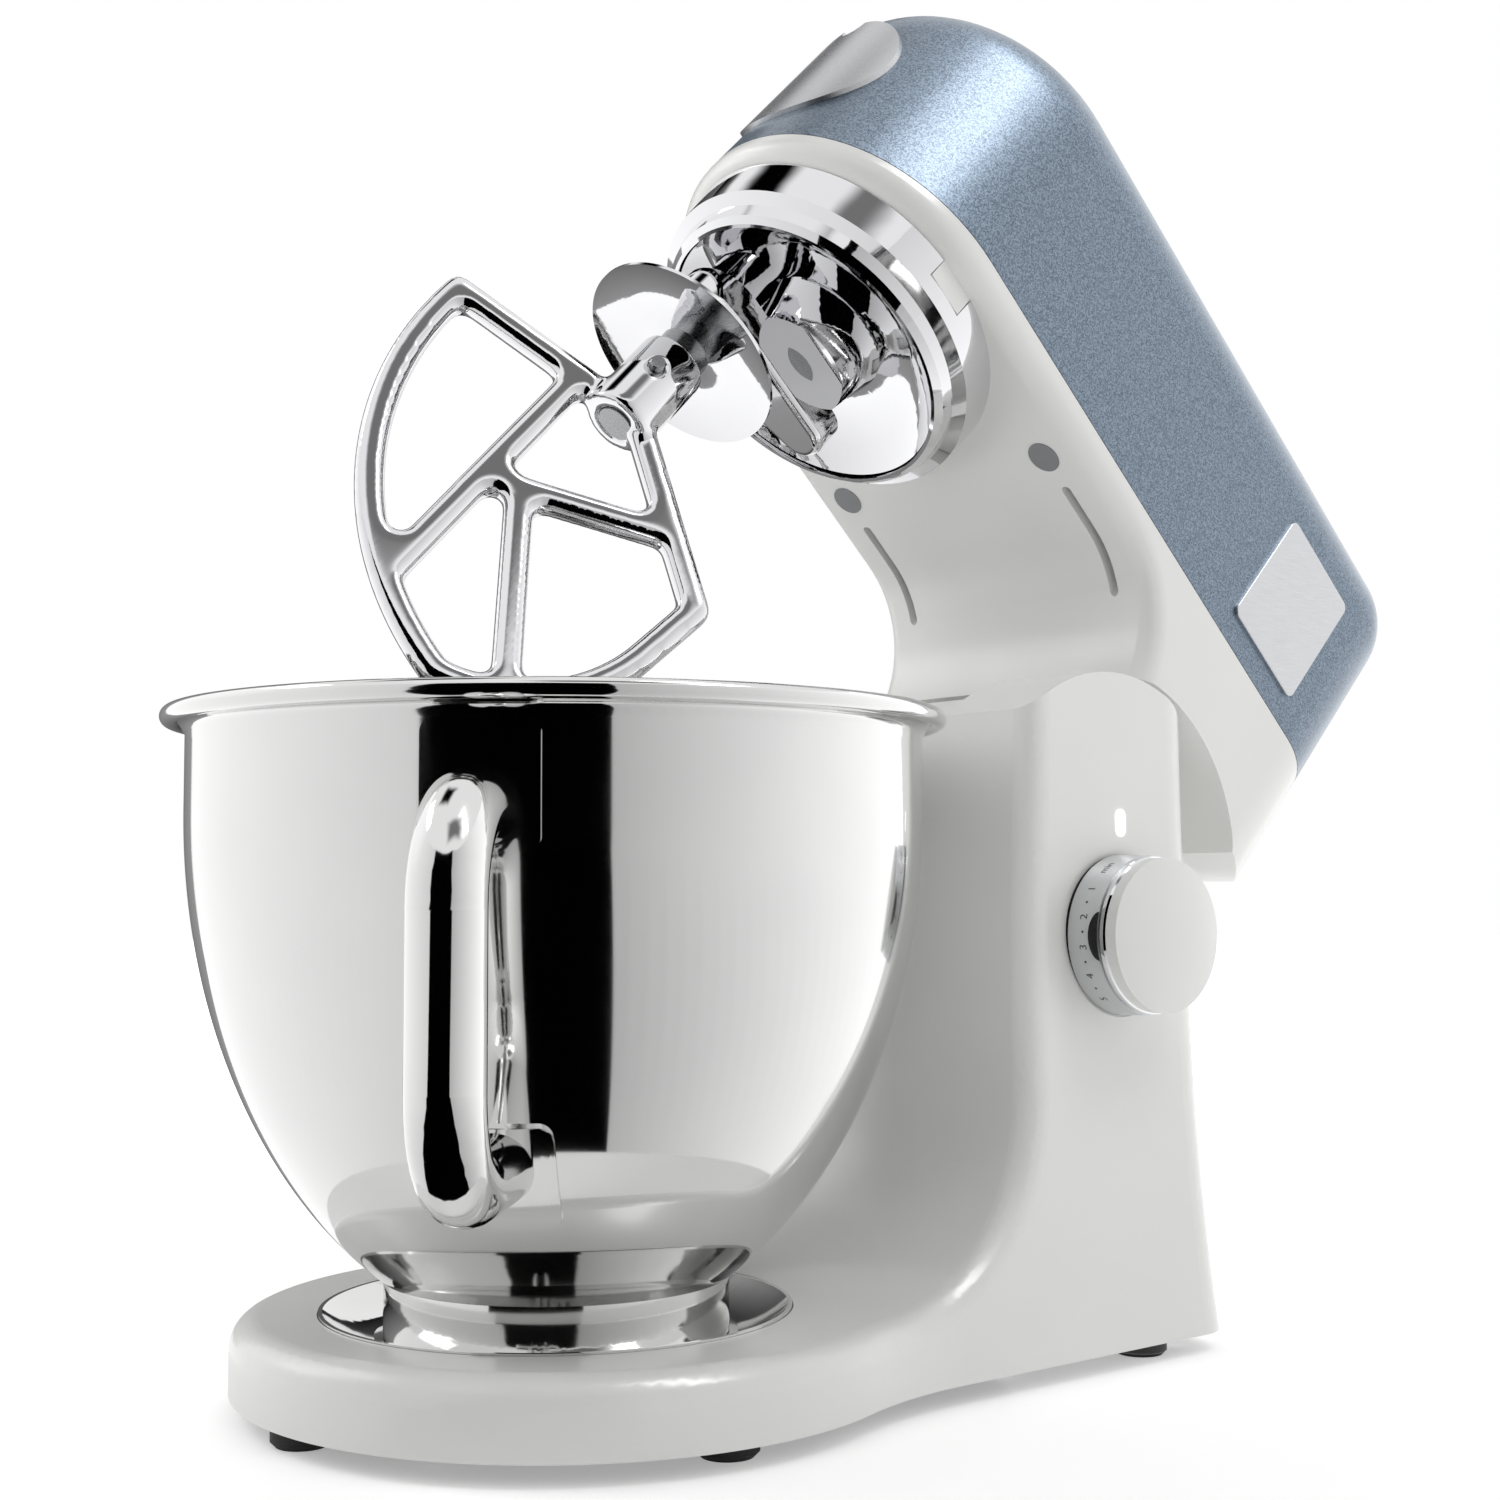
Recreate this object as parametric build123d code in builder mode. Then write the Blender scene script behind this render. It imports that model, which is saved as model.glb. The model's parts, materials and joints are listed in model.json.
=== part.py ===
"""Tilt-head stand mixer, shown with its head raised, a beater fitted and the bowl on its seat.

Millimetres. +Z is up, the nose points to -Y and the speed knob is on +X. The counter is Z = 0.
Head pieces are drawn in a frame of their own: x across, y to the rear of the hub axis and
z up from the face where the hub ring meets the head.
"""
import os
from math import asin, cos, degrees, exp, radians, sin, sqrt

from build123d import *

os.makedirs("parts", exist_ok=True)

# Fits and clearances
running_fit = 0.05
press_gap = 0.02
part_gap = 0.3
casting_wall = 4.5

# Where the bowl, hinge and hub stand
bowl_y = -109.0
bowl_radius = 106.0
hinge_behind = 57.0
hinge_height = 156.5
hub_rise = 86.5
head_tilt = 44.6
hinge_reach = bowl_radius + hinge_behind
hub_height = hinge_height + hub_rise

# Base: round pan in front, column behind
foot_height = 6.0
pan_radius = 96.3
pan_offset = 5.0
pan_top = 26.5
waist_radius = 120.0
rear_corner = 16.0
column_behind = 42.0
column_rear = hinge_reach + column_behind
column_foot_ahead = 46.3
column_front_foot = hinge_reach - column_foot_ahead
column_top_ahead = 36.5
column_front_top = hinge_reach - column_top_ahead
plinth_half = 82.0
cheek_half = 68.0
flare_fall = 80.0
base_levels = 4
sweep_radius = 62.0
arch_radius = 57.3
shoulder_round = 8.0

# Inside the base
under_depth = 8.0
plate_thickness = 2.5
column_room_half = 58.0
room_ahead = 33.5
column_room_front = hinge_reach - room_ahead
room_below = 38.5
column_room_top = hinge_height - room_below
column_wall = 7.0
foot_radius = 8.5
foot_front = 80.0
foot_side = 79.0
foot_rear_x = 67.0
foot_rear_inset = 31.0
foot_rear_y = column_rear - foot_rear_inset
screw_radius = 2.0
screw_head_radius = 3.8
boss_radius = 6.0
front_screw_x = 40.0
front_screw_y = -64.0
waist_screw_x = 62.0
waist_screw_y = column_front_foot
rear_screw_x = 66.0
rear_screw_inset = 14.0
rear_screw_y = column_rear - rear_screw_inset

board_half = 44.0
board_low = 34.0
board_headroom = 22.0
board_high = column_room_top - board_headroom
board_thickness = 1.6
post_radius = 3.0
post_length = 4.0
screw_head = 1.8
gland_x = -40.0
gland_z = 32.0
gland_radius = 6.5
gland_bore = 3.6
gland_flange = 9.0
gland_lip = 2.0

# Hinge
lug_half = 30.0
lug_radius = 30.0
pocket_clear = 1.5
pocket_ahead = 28.5
pocket_front = hinge_reach - pocket_ahead
pin_radius = 7.0
pin_half = 56.0
bush_radius = 10.0
bush_length = 20.0
web_half = 13.0

# Bowl and its seat
bead_radius = 2.7
rim_height = 194.0
rim_band = 26.0
bowl_shoulder = rim_height - rim_band
bowl_wall = 1.2
bowl_steps = 8
flare_height = 5.0
flare_start = rim_height - flare_height
flare_reach = 2.2
bowl_floor = 31.0
bowl_round = 13.0
bowl_depth = bowl_shoulder - bowl_floor + bowl_round
foot_ring_radius = 49.5
foot_ring_wall = 2.2
seat_radius = 67.6
seat_depth = 9.5
seat_floor = 2.5
seat_lip = 0.6
lock_count = 3
lock_ring_radius = 43.0
lock_reach = 3.2
lock_angle = 28.0
tab_angle = 24.0
lock_height = 6.4

# Bowl handle
handle_angle = -44.0
handle_tube = 9.5
handle_room = 34.0
handle_reach = bowl_radius + handle_room
handle_drop = 29.0
handle_top = rim_height - handle_drop
handle_foot_drop = 118.0
handle_bottom = rim_height - handle_foot_drop
handle_bend = 24.0
pad_thickness = 1.4
pad_width = 30.0
pad_height = 33.0
pad_top_rise = 6.0
pad_top_z = handle_top + pad_top_rise
low_pad_height = 27.0
pad_bottom_drop = 3.0
pad_bottom_z = handle_bottom - pad_bottom_drop
pad_low_inset = 18.0
pad_low_radius = bowl_radius - pad_low_inset

# Speed knob on the column's side
knob_drop = 25.5
knob_radius = 25.0
dial_depth = 11.4
trim_depth = 2.6
trim_radius = 24.2
cap_radius = 23.8
cap_depth = 4.0
cap_dome = 4.5
knob_gap = 1.2
knob_taper = 0.4
spindle_radius = 3.0
sensor_radius = 10.0
sensor_depth = 9.0
light_width = 4.0
light_height = 8.6
light_rise = 9.5
light_shift = 2.0
light_proud = 0.6

# Head release on the far side
lever_ahead = 22.0
lever_y = hinge_reach - lever_ahead
lever_below = 48.5
lever_z = hinge_height - lever_below
lever_shaft_radius = 4.0
lever_boss = 13.0
lever_length = 36.0
lever_thickness = 8.0
pawl_half = 8.0
pawl_tip = 4.0

# Head shells
head_half = 64.5
nose_shift = 1.6
head_overhang = 68.0
head_rear = hinge_reach + head_overhang
head_corner = 28.0
parting_z = 9.5
head_top = 101.0
crown_round = 26.0
cover_wall = 3.0
floor_thickness = 4.0
underside_round = 7.0
cove_ahead = 65.0
cove_y = hinge_reach - cove_ahead
cove_radius = 40.0
recess_gap = 1.3
recess_lead = 8.0
lip_z = -40.0
lip_round = 14.0
vent_x = 48.5
vent_ahead = 18.0
vent_start = cove_y - vent_ahead
vent_behind = 23.0
vent_end = cove_y + vent_behind
vent_width = 3.6
plug_x = 48.0
plug_ahead = 30.5
plug_y = cove_y - plug_ahead
plug_radius = 5.6
plug_depth = 2.0

# Trim on the head
badge_width = 41.0
badge_height = 49.0
badge_inset = 58.0
badge_y = head_rear - badge_inset
badge_z = 44.0
badge_thickness = 1.2
badge_corner = 3.0
outlet_z = 48.0
outlet_width = 64.0
outlet_height = 57.0
outlet_low = 22.5
outlet_thickness = 1.5
outlet_notch = 5.0
outlet_hole = 18.0

# Hub ring and planetary drive
hub_radius = 58.5
hub_band = 13.5
lip_radius = 50.4
lip_depth = 21.4
hub_bore = 49.2
slot_count = 3
slot_width = 15.6
slot_height = 8.0
slot_depth = 3.2
slot_lug_inset = 0.8
hub_draft = 1.0
hub_step = 5.0
hub_edge = 2.0
tool_reach = 28.6
tool_angle = 245.2
ring_ratio = 3
ring_face = 5.0
ring_outer = 50.0
ring_low = -1.0
mesh_gap = 0.3
carrier_gap = 0.4
dish_top = -5.0
dish_rim = -17.0
dish_wall = 2.5
dish_hub = 20.0
dish_belly_out = 3.0
dish_belly_up = 2.0
hub_foot = 3.5
arm_top = -26.0
arm_bottom = -38.0
arm_big = 16.0
arm_small = 8.5
arm_small_x = -4.0
arm_small_y = 19.0
tool_radius = 6.0
socket_radius = 8.6
bush_wall = 3.0
disc_z = -50.0
disc_radius = 34.0
disc_dish = 2.5
disc_thickness = 1.2
disc_bulge = 1.6

# Beater, drawn in its own plane: across from the tool axis, and down from the hub face
beater_angle = 58.0
bar_width = 9.0
bar_depth = 8.0
bar_round = 2.6
collar_radius = 11.5
collar_top = 55.0
collar_bottom = 87.0
shoulder_drop = 81.0
bow_reach = 65.5
bow_mid = (-46.0, 149.0)
bow_end = (12.0, 192.0)
toe = (39.0, 178.0)
heel = (54.0, 147.0)
knee = (57.0, 125.0)
leg_start = 85.0
brace_x = -18.5
brace_fork = 127.0
fork_x = -7.0
upper_arm_x = 37.0
lower_arm_x = 31.0
window_round = 3.5
drive_pin_radius = 2.2
drive_pin_drop = 68.0

# Motor and gears in the head
motor_z = 48.0
motor_radius = 36.0
motor_ahead = 51.0
motor_front = hinge_reach - motor_ahead
motor_length = 74.0
rotor_radius = 20.0
air_gap = 0.6
motor_shaft_radius = 4.0
shaft_front = 26.0
shaft_run = 95.0
shaft_rear = motor_front + shaft_run
fan_radius = 33.0
fan_behind = 86.0
fan_y = motor_front + fan_behind
fan_depth = 6.0
fan_blades = 9
bracket_thickness = 4.0
bracket_half = 40.0
bevel_radius = 10.0
bevel_length = 14.0
crown_radius = 44.0
crown_low = 30.0
crown_high = 37.5
carrier_shaft_radius = 8.0
housing_radius = 56.0
housing_flange = 4.0
housing_tube = 18.0
housing_top = 27.0
bearing_radius = 14.0
bearing_width = 7.0
bearing_seat = 1.0
housing_screw_reach = 53.0
housing_screw_count = 4
can_wall = 2.0
core_inset = 8.0
coil_inner = 22.0
coil_outer = 32.0
bracket_top = 88.0
outlet_bracket_half = 24.0
outlet_bracket_y = -46.0
outlet_bracket_top = 66.0
outlet_socket_radius = 11.0
outlet_socket_depth = 9.0
outlet_square = 9.0
outlet_back = 2.0


def side_half(height):
    """Half width of the base's sides, which flare out to the plinth."""
    return cheek_half + (plinth_half - cheek_half) * exp((foot_height - height) / flare_fall)


# Places worked out from the values above
hinge_y = bowl_y + hinge_reach
tilt = radians(head_tilt)
hub_y = hinge_y - hinge_reach * cos(tilt) + hub_rise * sin(tilt)
hub_z = hinge_height + hinge_reach * sin(tilt) + hub_rise * cos(tilt)
HEAD = Plane(origin=(0, hub_y, hub_z), x_dir=(1, 0, 0), z_dir=(0, sin(tilt), cos(tilt)))
BOWL = Plane(origin=(0, bowl_y, 0), x_dir=(1, 0, 0), z_dir=(0, -1, 0))
BOWL_AXIS = Axis((0, bowl_y, 0), (0, 0, 1))
hinge_z_in_head = -hub_rise
tool_x = tool_reach * cos(radians(tool_angle))
tool_y = tool_reach * sin(radians(tool_angle))
pinion_radius = tool_reach / (ring_ratio - 1)
ring_radius = pinion_radius * ring_ratio
knob_y = hinge_y
knob_height = hinge_height - knob_drop
light_z = hinge_height + light_rise
rim_radius = bowl_radius + flare_reach + bead_radius - bowl_wall / 2
column_top_z = hinge_height + arch_radius
room_rear = column_rear - column_wall
front_screws = [(side * front_screw_x, bowl_y + front_screw_y) for side in (1, -1)]
waist_screws = [(side * waist_screw_x, bowl_y + waist_screw_y) for side in (1, -1)]
rear_screws = [(side * rear_screw_x, bowl_y + rear_screw_y) for side in (1, -1)]
base_screw_places = front_screws + waist_screws + rear_screws
side_feet = [(side * foot_side, bowl_y) for side in (1, -1)]
rear_feet = [(side * foot_rear_x, bowl_y + foot_rear_y) for side in (1, -1)]
foot_places = [(0, bowl_y - foot_front)] + side_feet + rear_feet
web_room = web_half + pocket_clear
pocket_rear_y = bowl_y + column_rear + web_half
pocket_run = (pocket_rear_y - hinge_y - web_room * cos(tilt)) / sin(tilt)
pocket_rear_z = hinge_height - web_room * sin(tilt) + pocket_run * cos(tilt)
sensor_outer = column_room_half - can_wall
sensor_inner = sensor_outer - sensor_depth - casting_wall
light_y = hinge_y + light_shift
light_inner = column_room_half + light_shift
pawl_reach = hinge_reach - lever_y
pawl_tip_z = hinge_height - lug_radius - 2 * part_gap - pawl_tip
seat_top = pan_top - seat_depth + seat_floor
foot_ring_inner = foot_ring_radius - foot_ring_wall
dial_inner = side_half(knob_height) + knob_gap
light_outer = side_half(light_z) + light_proud
lever_inner = side_half(lever_z - lever_length) + part_gap
dial_outer = dial_inner + dial_depth
trim_outer = dial_outer + trim_depth
cap_outer = trim_outer + cap_depth
KNOB = Plane(origin=(0, knob_y, knob_height), x_dir=(1, 0, 0), z_dir=(0, -1, 0))
KNOB_AXIS = Axis((0, knob_y, knob_height), (1, 0, 0))
handle_way = (cos(radians(handle_angle)), sin(radians(handle_angle)), 0)
HANDLE = Plane(origin=(0, bowl_y, 0), x_dir=handle_way, z_dir=(handle_way[1], -handle_way[0], 0))
HANDLE_FACE = Plane(origin=(0, bowl_y, 0), x_dir=(-handle_way[1], handle_way[0], 0), z_dir=handle_way)

beater_across = HEAD.x_dir * cos(radians(beater_angle)) + HEAD.y_dir * sin(radians(beater_angle))
tool_origin = HEAD.from_local_coords((tool_x, tool_y, 0))
BEATER = Plane(origin=tool_origin, x_dir=beater_across, z_dir=beater_across.cross(HEAD.z_dir))
knee_point = (knee[0], -knee[1])
heel_point = (heel[0], -heel[1])
toe_point = (toe[0], -toe[1])
bow_end_point = (bow_end[0], -bow_end[1])
bow_mid_point = (bow_mid[0], -bow_mid[1])
bow_corner = (-bow_reach, -shoulder_drop)
pin_origin = HEAD.from_local_coords((tool_x, tool_y, -drive_pin_drop))
DRIVE_PIN = Plane(origin=pin_origin, x_dir=HEAD.z_dir, z_dir=BEATER.z_dir)


def head_level(height):
    """Plane across the head at a height above the hub face."""
    return HEAD.offset(height)


def head_point(x, y, z):
    """Point of the head's own frame, in the mixer's frame."""
    return HEAD.from_local_coords((x, y, z))


def head_side(x=0.0):
    """Plane along the head, seen from its knob side: y to the rear, z up."""
    return Plane(origin=head_point(x, 0, 0), x_dir=HEAD.y_dir, z_dir=(1, 0, 0))


def head_front(y):
    """Plane across the head that faces the nose: x across, z up."""
    return Plane(origin=head_point(0, y, 0), x_dir=(1, 0, 0), z_dir=-HEAD.y_dir)


def hub_section(x=0.0, y=0.0):
    """Plane through an axis parallel to the hub's, for revolving about it."""
    return Plane(origin=head_point(x, y, 0), x_dir=(1, 0, 0), z_dir=-HEAD.y_dir)


def hub_axis(x=0.0, y=0.0):
    """Axis parallel to the hub's."""
    return Axis(head_point(x, y, 0), HEAD.z_dir)


def arc_middle(centre, radius, first, last):
    """Point half way along the shorter arc between two points of a circle."""
    across = (first[0] + last[0] - 2 * centre[0], first[1] + last[1] - 2 * centre[1])
    length = sqrt(across[0] ** 2 + across[1] ** 2)
    return (centre[0] + radius * across[0] / length, centre[1] + radius * across[1] / length)


def circles_meet(centre_a, radius_a, centre_b, radius_b):
    """Upper crossing of two circles, the second centre lying behind the first."""
    gap_y = centre_b[0] - centre_a[0]
    gap_z = centre_b[1] - centre_a[1]
    span = sqrt(gap_y**2 + gap_z**2)
    along = (radius_a**2 - radius_b**2 + span**2) / (2 * span)
    off = sqrt(radius_a**2 - along**2)
    foot = (centre_a[0] + along * gap_y / span, centre_a[1] + along * gap_z / span)
    return (foot[0] - off * gap_z / span, foot[1] + off * gap_y / span)


def circle_through(first, second, third):
    """Centre and radius of the circle through three points."""
    ax, ay = second[0] - first[0], second[1] - first[1]
    bx, by = third[0] - first[0], third[1] - first[1]
    double = 2 * (ax * by - ay * bx)
    x = (by * (ax**2 + ay**2) - ay * (bx**2 + by**2)) / double
    y = (ax * (bx**2 + by**2) - bx * (ax**2 + ay**2)) / double
    return (first[0] + x, first[1] + y), sqrt(x**2 + y**2)


def ring_sector(inner, outer, angle):
    """Piece of a flat ring, centred on the local x axis."""
    with BuildSketch() as sector:
        with BuildLine():
            far = CenterArc((0, 0), outer, -angle / 2, angle)
            near = CenterArc((0, 0), inner, -angle / 2, angle)
            Line(far @ 0, near @ 0)
            Line(far @ 1, near @ 1)
        make_face()
    return sector.sketch


def bowl_skin_z(radius):
    """Height of the bowl's outside at a radius."""
    return bowl_shoulder - bowl_depth * sqrt(1 - (radius / bowl_radius) ** 2)


def bowl_curve(grow, floor):
    """Line up the bowl's wall from a floor height to the shoulder, grown outwards."""
    across = bowl_radius + grow
    deep = bowl_depth + grow
    turn = asin((bowl_shoulder - floor) / deep)
    turns = [turn * (1 - step / bowl_steps) for step in range(bowl_steps + 1)]
    points = [(across * cos(t), bowl_shoulder - deep * sin(t)) for t in turns]
    return Spline(*points, tangents=((across * sin(turn), deep * cos(turn)), (0, 1)), mode=Mode.PRIVATE)


def bowl_skin(grow):
    """Half section of the bowl's outside as a solid, grown outwards."""
    with BuildLine() as skin:
        wall = bowl_curve(grow, bowl_floor)
        add(wall)
        Polyline(wall @ 1, (bowl_radius + grow, flare_start), (0, flare_start), (0, bowl_floor), wall @ 0)
    return skin.edges()


def base_outline(half, inset=0.0):
    """Plan of the base: a round pan, a waist curving in and a column with rounded rear corners."""
    pan = pan_radius - inset
    side = half - inset
    blend = waist_radius + inset
    corner = rear_corner - inset
    rear = bowl_y + column_rear - inset
    pan_y = bowl_y + pan_offset
    reach = sqrt((pan + blend) ** 2 - (side + blend) ** 2)
    share = pan / (pan + blend)
    leave = ((side + blend) * share, pan_y + reach * share)
    join = (side, pan_y + reach)
    waist = arc_middle((side + blend, pan_y + reach), blend, leave, join)
    turn = (side - corner, rear - corner)
    round_out = (side, rear - corner)
    round_in = (side - corner, rear)
    with BuildLine() as outline:
        ThreePointArc((-leave[0], leave[1]), (0, pan_y - pan), leave)
        ThreePointArc(leave, waist, join)
        Line(join, round_out)
        ThreePointArc(round_out, arc_middle(turn, corner, round_out, round_in), round_in)
        Line(round_in, (-round_in[0], round_in[1]))
        back = (-round_out[0], round_out[1])
        left_turn = (-turn[0], turn[1])
        ThreePointArc((-round_in[0], rear), arc_middle(left_turn, corner, (-round_in[0], rear), back), back)
        Line(back, (-join[0], join[1]))
        ThreePointArc((-join[0], join[1]), (-waist[0], waist[1]), (-leave[0], leave[1]))
    return outline.edges()


def head_outline(inset=0.0):
    """Plan of the head: half-round nose, straight sides and rounded rear corners."""
    half = head_half - inset
    corner = head_corner - inset
    rear = head_rear - inset
    with BuildLine() as outline:
        ThreePointArc((-half, nose_shift), (0, nose_shift - half), (half, nose_shift))
        Line((half, nose_shift), (half, rear - corner))
        RadiusArc((half, rear - corner), (half - corner, rear), -corner)
        Line((half - corner, rear), (corner - half, rear))
        RadiusArc((corner - half, rear), (-half, rear - corner), -corner)
        Line((-half, rear - corner), (-half, nose_shift))
    return outline.edges()


def shrunk(outline, amount, corner):
    """Face inside a closed line, moved in by an amount and with rounded corners."""
    with BuildSketch() as window:
        make_face(outline)
        offset(amount=amount - corner, kind=Kind.INTERSECTION, mode=Mode.REPLACE)
        offset(amount=corner, kind=Kind.ARC, mode=Mode.REPLACE)
    return window.sketch


# Base casting: lofted plan sections cut to the side view
level_step = (column_top_z + shoulder_round - foot_height) / base_levels
base_heights = [foot_height + step * level_step for step in range(base_levels + 1)]
front_top_z = hinge_height + sqrt(arch_radius**2 - (hinge_reach - column_front_top) ** 2)
rear_top_z = hinge_height + sqrt(arch_radius**2 - (column_rear - hinge_reach) ** 2)
pan_front_y = bowl_y - 2 * pan_radius
post_span_x = 2 * board_half - 4 * post_radius
post_span_z = board_high - board_low - 4 * post_radius

with BuildPart() as base_casting:
    for level in base_heights:
        with BuildSketch(Plane.XY.offset(level)):
            make_face(base_outline(side_half(level)))
    loft()
    with BuildSketch(Plane.YZ):
        with BuildLine():
            FilletPolyline(
                (pan_front_y, pan_top),
                (bowl_y + column_front_foot, pan_top),
                (bowl_y + column_front_top, front_top_z),
                radius=sweep_radius,
            )
            ThreePointArc(
                (bowl_y + column_front_top, front_top_z),
                (hinge_y, column_top_z),
                (bowl_y + column_rear, rear_top_z),
            )
            Polyline(
                (bowl_y + column_rear, rear_top_z),
                (bowl_y + column_rear, foot_height),
                (pan_front_y, foot_height),
                (pan_front_y, pan_top),
            )
        make_face()
    extrude(amount=2 * pan_radius, both=True, mode=Mode.INTERSECT)
    rolled = base_casting.faces().filter_by(GeomType.CYLINDER)
    soft_faces = [f for f in rolled if abs(f.radius - sweep_radius) < part_gap]
    flats = base_casting.faces().filter_by(GeomType.PLANE)
    soft_faces += flats.filter_by(lambda f: f.normal_at().Y < -0.9)
    soft_faces += flats.filter_by(lambda f: abs(f.center().Z - pan_top) < part_gap)
    shoulder = ShapeList(e for f in soft_faces for e in f.edges() if abs(e.tangent_at(0.5).X) < 0.999)
    fillet(shoulder, shoulder_round)
    with BuildSketch(Plane.XY.offset(pan_top - seat_depth)):
        with Locations((0, bowl_y)):
            Circle(seat_radius + part_gap)
    extrude(amount=2 * seat_depth, mode=Mode.SUBTRACT)
    with BuildSketch(Plane.XY.offset(foot_height)):
        make_face(base_outline(plinth_half, casting_wall))
    extrude(amount=under_depth, mode=Mode.SUBTRACT)
    with BuildSketch(Plane.XY.offset(foot_height)):
        with Locations((0, bowl_y + (column_room_front + room_rear) / 2)):
            RectangleRounded(2 * column_room_half, room_rear - column_room_front, casting_wall)
    extrude(amount=column_room_top - foot_height, mode=Mode.SUBTRACT)
    with BuildSketch(Plane.XY.offset(foot_height + plate_thickness)):
        with Locations(*base_screw_places):
            Circle(boss_radius)
            Circle(screw_radius + press_gap, mode=Mode.SUBTRACT)
    extrude(amount=under_depth - plate_thickness)
    with BuildSketch(Plane.XZ.offset(-bowl_y - column_room_front)):
        with Locations((0, (board_low + board_high) / 2)):
            with GridLocations(post_span_x, post_span_z, 2, 2):
                Circle(post_radius)
    extrude(amount=-post_length)
    with BuildSketch(Plane.YZ):
        with Locations((hinge_y, hinge_height)):
            Circle(lug_radius + pocket_clear)
        with BuildLine():
            Polyline(
                (bowl_y + pocket_front, hinge_height),
                (bowl_y + pocket_front, column_top_z + web_half),
                (pocket_rear_y, column_top_z + web_half),
                (pocket_rear_y, pocket_rear_z),
                (hinge_y + web_room * cos(tilt), hinge_height - web_room * sin(tilt)),
                close=True,
            )
        make_face()
    extrude(amount=lug_half + pocket_clear, both=True, mode=Mode.SUBTRACT)
    with BuildSketch(Plane.YZ):
        with Locations((hinge_y, hinge_height)):
            Circle(pin_radius + press_gap)
    extrude(amount=pin_half, both=True, mode=Mode.SUBTRACT)
    with BuildSketch(Plane.YZ.offset(sensor_inner)):
        with Locations((knob_y, knob_height)):
            Circle(sensor_radius + part_gap)
        with Locations((knob_y, (column_room_top + knob_height) / 2)):
            Rectangle(2 * (sensor_radius + part_gap), knob_height - column_room_top + part_gap)
    extrude(amount=sensor_outer - sensor_inner, mode=Mode.SUBTRACT)
    with BuildSketch(Plane.YZ.offset(sensor_outer)):
        with Locations((knob_y, knob_height)):
            Circle(spindle_radius + running_fit)
    extrude(amount=plinth_half - sensor_outer, mode=Mode.SUBTRACT)
    with BuildSketch(Plane.YZ.offset(dial_inner - 2 * part_gap)):
        with Locations((knob_y, knob_height)):
            Circle(knob_radius + 2 * part_gap)
    extrude(amount=plinth_half - dial_inner, mode=Mode.SUBTRACT)
    with BuildSketch(Plane.YZ.offset(light_inner)):
        with Locations((light_y, light_z)):
            SlotOverall(light_height + press_gap, light_width + press_gap, rotation=90)
    extrude(amount=plinth_half - light_inner, mode=Mode.SUBTRACT)
    with BuildSketch(Plane.YZ.offset(-plinth_half)):
        with Locations((bowl_y + lever_y, lever_z)):
            Circle(lever_shaft_radius + running_fit)
    extrude(amount=plinth_half - column_room_half, mode=Mode.SUBTRACT)
    with BuildSketch(Plane.YZ):
        with Locations((bowl_y + lever_y + pawl_reach / 2, column_room_top)):
            Rectangle(pawl_reach + 4 * pawl_tip, 2 * (hinge_height - lug_radius - column_room_top))
    extrude(amount=pawl_half + pocket_clear, both=True, mode=Mode.SUBTRACT)
    with BuildSketch(Plane.XZ.offset(-bowl_y - column_rear)):
        with Locations((gland_x, gland_z)):
            Circle(gland_radius + press_gap)
    extrude(amount=column_rear - room_rear, mode=Mode.SUBTRACT)
base_casting.part.label = "base_casting"
export_step(base_casting.part, "parts/base_casting.step")

with BuildPart() as base_plate:
    with BuildSketch(Plane.XY.offset(foot_height)):
        make_face(base_outline(plinth_half, casting_wall + part_gap))
        with Locations(*base_screw_places):
            Circle(screw_radius + press_gap, mode=Mode.SUBTRACT)
    extrude(amount=plate_thickness)
base_plate.part.label = "base_plate"
export_step(base_plate.part, "parts/base_plate.step")

with BuildPart() as feet:
    with BuildSketch():
        with Locations(*foot_places):
            Circle(foot_radius)
    extrude(amount=foot_height)
    chamfer(feet.faces().filter_by(Plane.XY).group_by(Axis.Z)[0].edges(), foot_height / 4)
feet.part.label = "feet"
export_step(feet.part, "parts/feet.step")

with BuildPart() as base_screws:
    with BuildSketch(Plane.XY.offset(foot_height)):
        with Locations(*base_screw_places):
            Circle(screw_radius)
    extrude(amount=under_depth)
    with BuildSketch(Plane.XY.offset(foot_height - screw_head)):
        with Locations(*base_screw_places):
            Circle(screw_head_radius)
    extrude(amount=screw_head)
base_screws.part.label = "base_screws"
export_step(base_screws.part, "parts/base_screws.step")

# Bowl seat: a polished dish with a lock ring inside the bowl's foot
with BuildPart() as bowl_seat:
    with BuildSketch(BOWL):
        with BuildLine():
            Polyline(
                (foot_ring_radius + seat_floor, seat_top),
                (0, seat_top),
                (0, pan_top - seat_depth),
                (seat_radius - seat_depth / 2, pan_top - seat_depth),
                (seat_radius, pan_top - seat_depth / 2),
                (seat_radius, pan_top + seat_lip),
                (seat_radius - 2 * seat_lip, pan_top + seat_lip),
            )
            RadiusArc(
                (seat_radius - 2 * seat_lip, pan_top + seat_lip),
                (foot_ring_radius + seat_floor, seat_top),
                seat_radius / 2,
            )
        make_face()
        with Locations((lock_ring_radius - lock_reach / 2, seat_top)):
            Rectangle(lock_reach, lock_height, align=(Align.CENTER, Align.MIN))
    revolve(axis=BOWL_AXIS)
    with BuildSketch(Plane((0, bowl_y, seat_top + lock_height / 2))):
        with PolarLocations(0, lock_count):
            add(ring_sector(lock_ring_radius - lock_reach / 2, lock_ring_radius + lock_reach, lock_angle))
    extrude(amount=lock_height / 2)
bowl_seat.part.label = "bowl_seat"
export_step(bowl_seat.part, "parts/bowl_seat.step")

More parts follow.
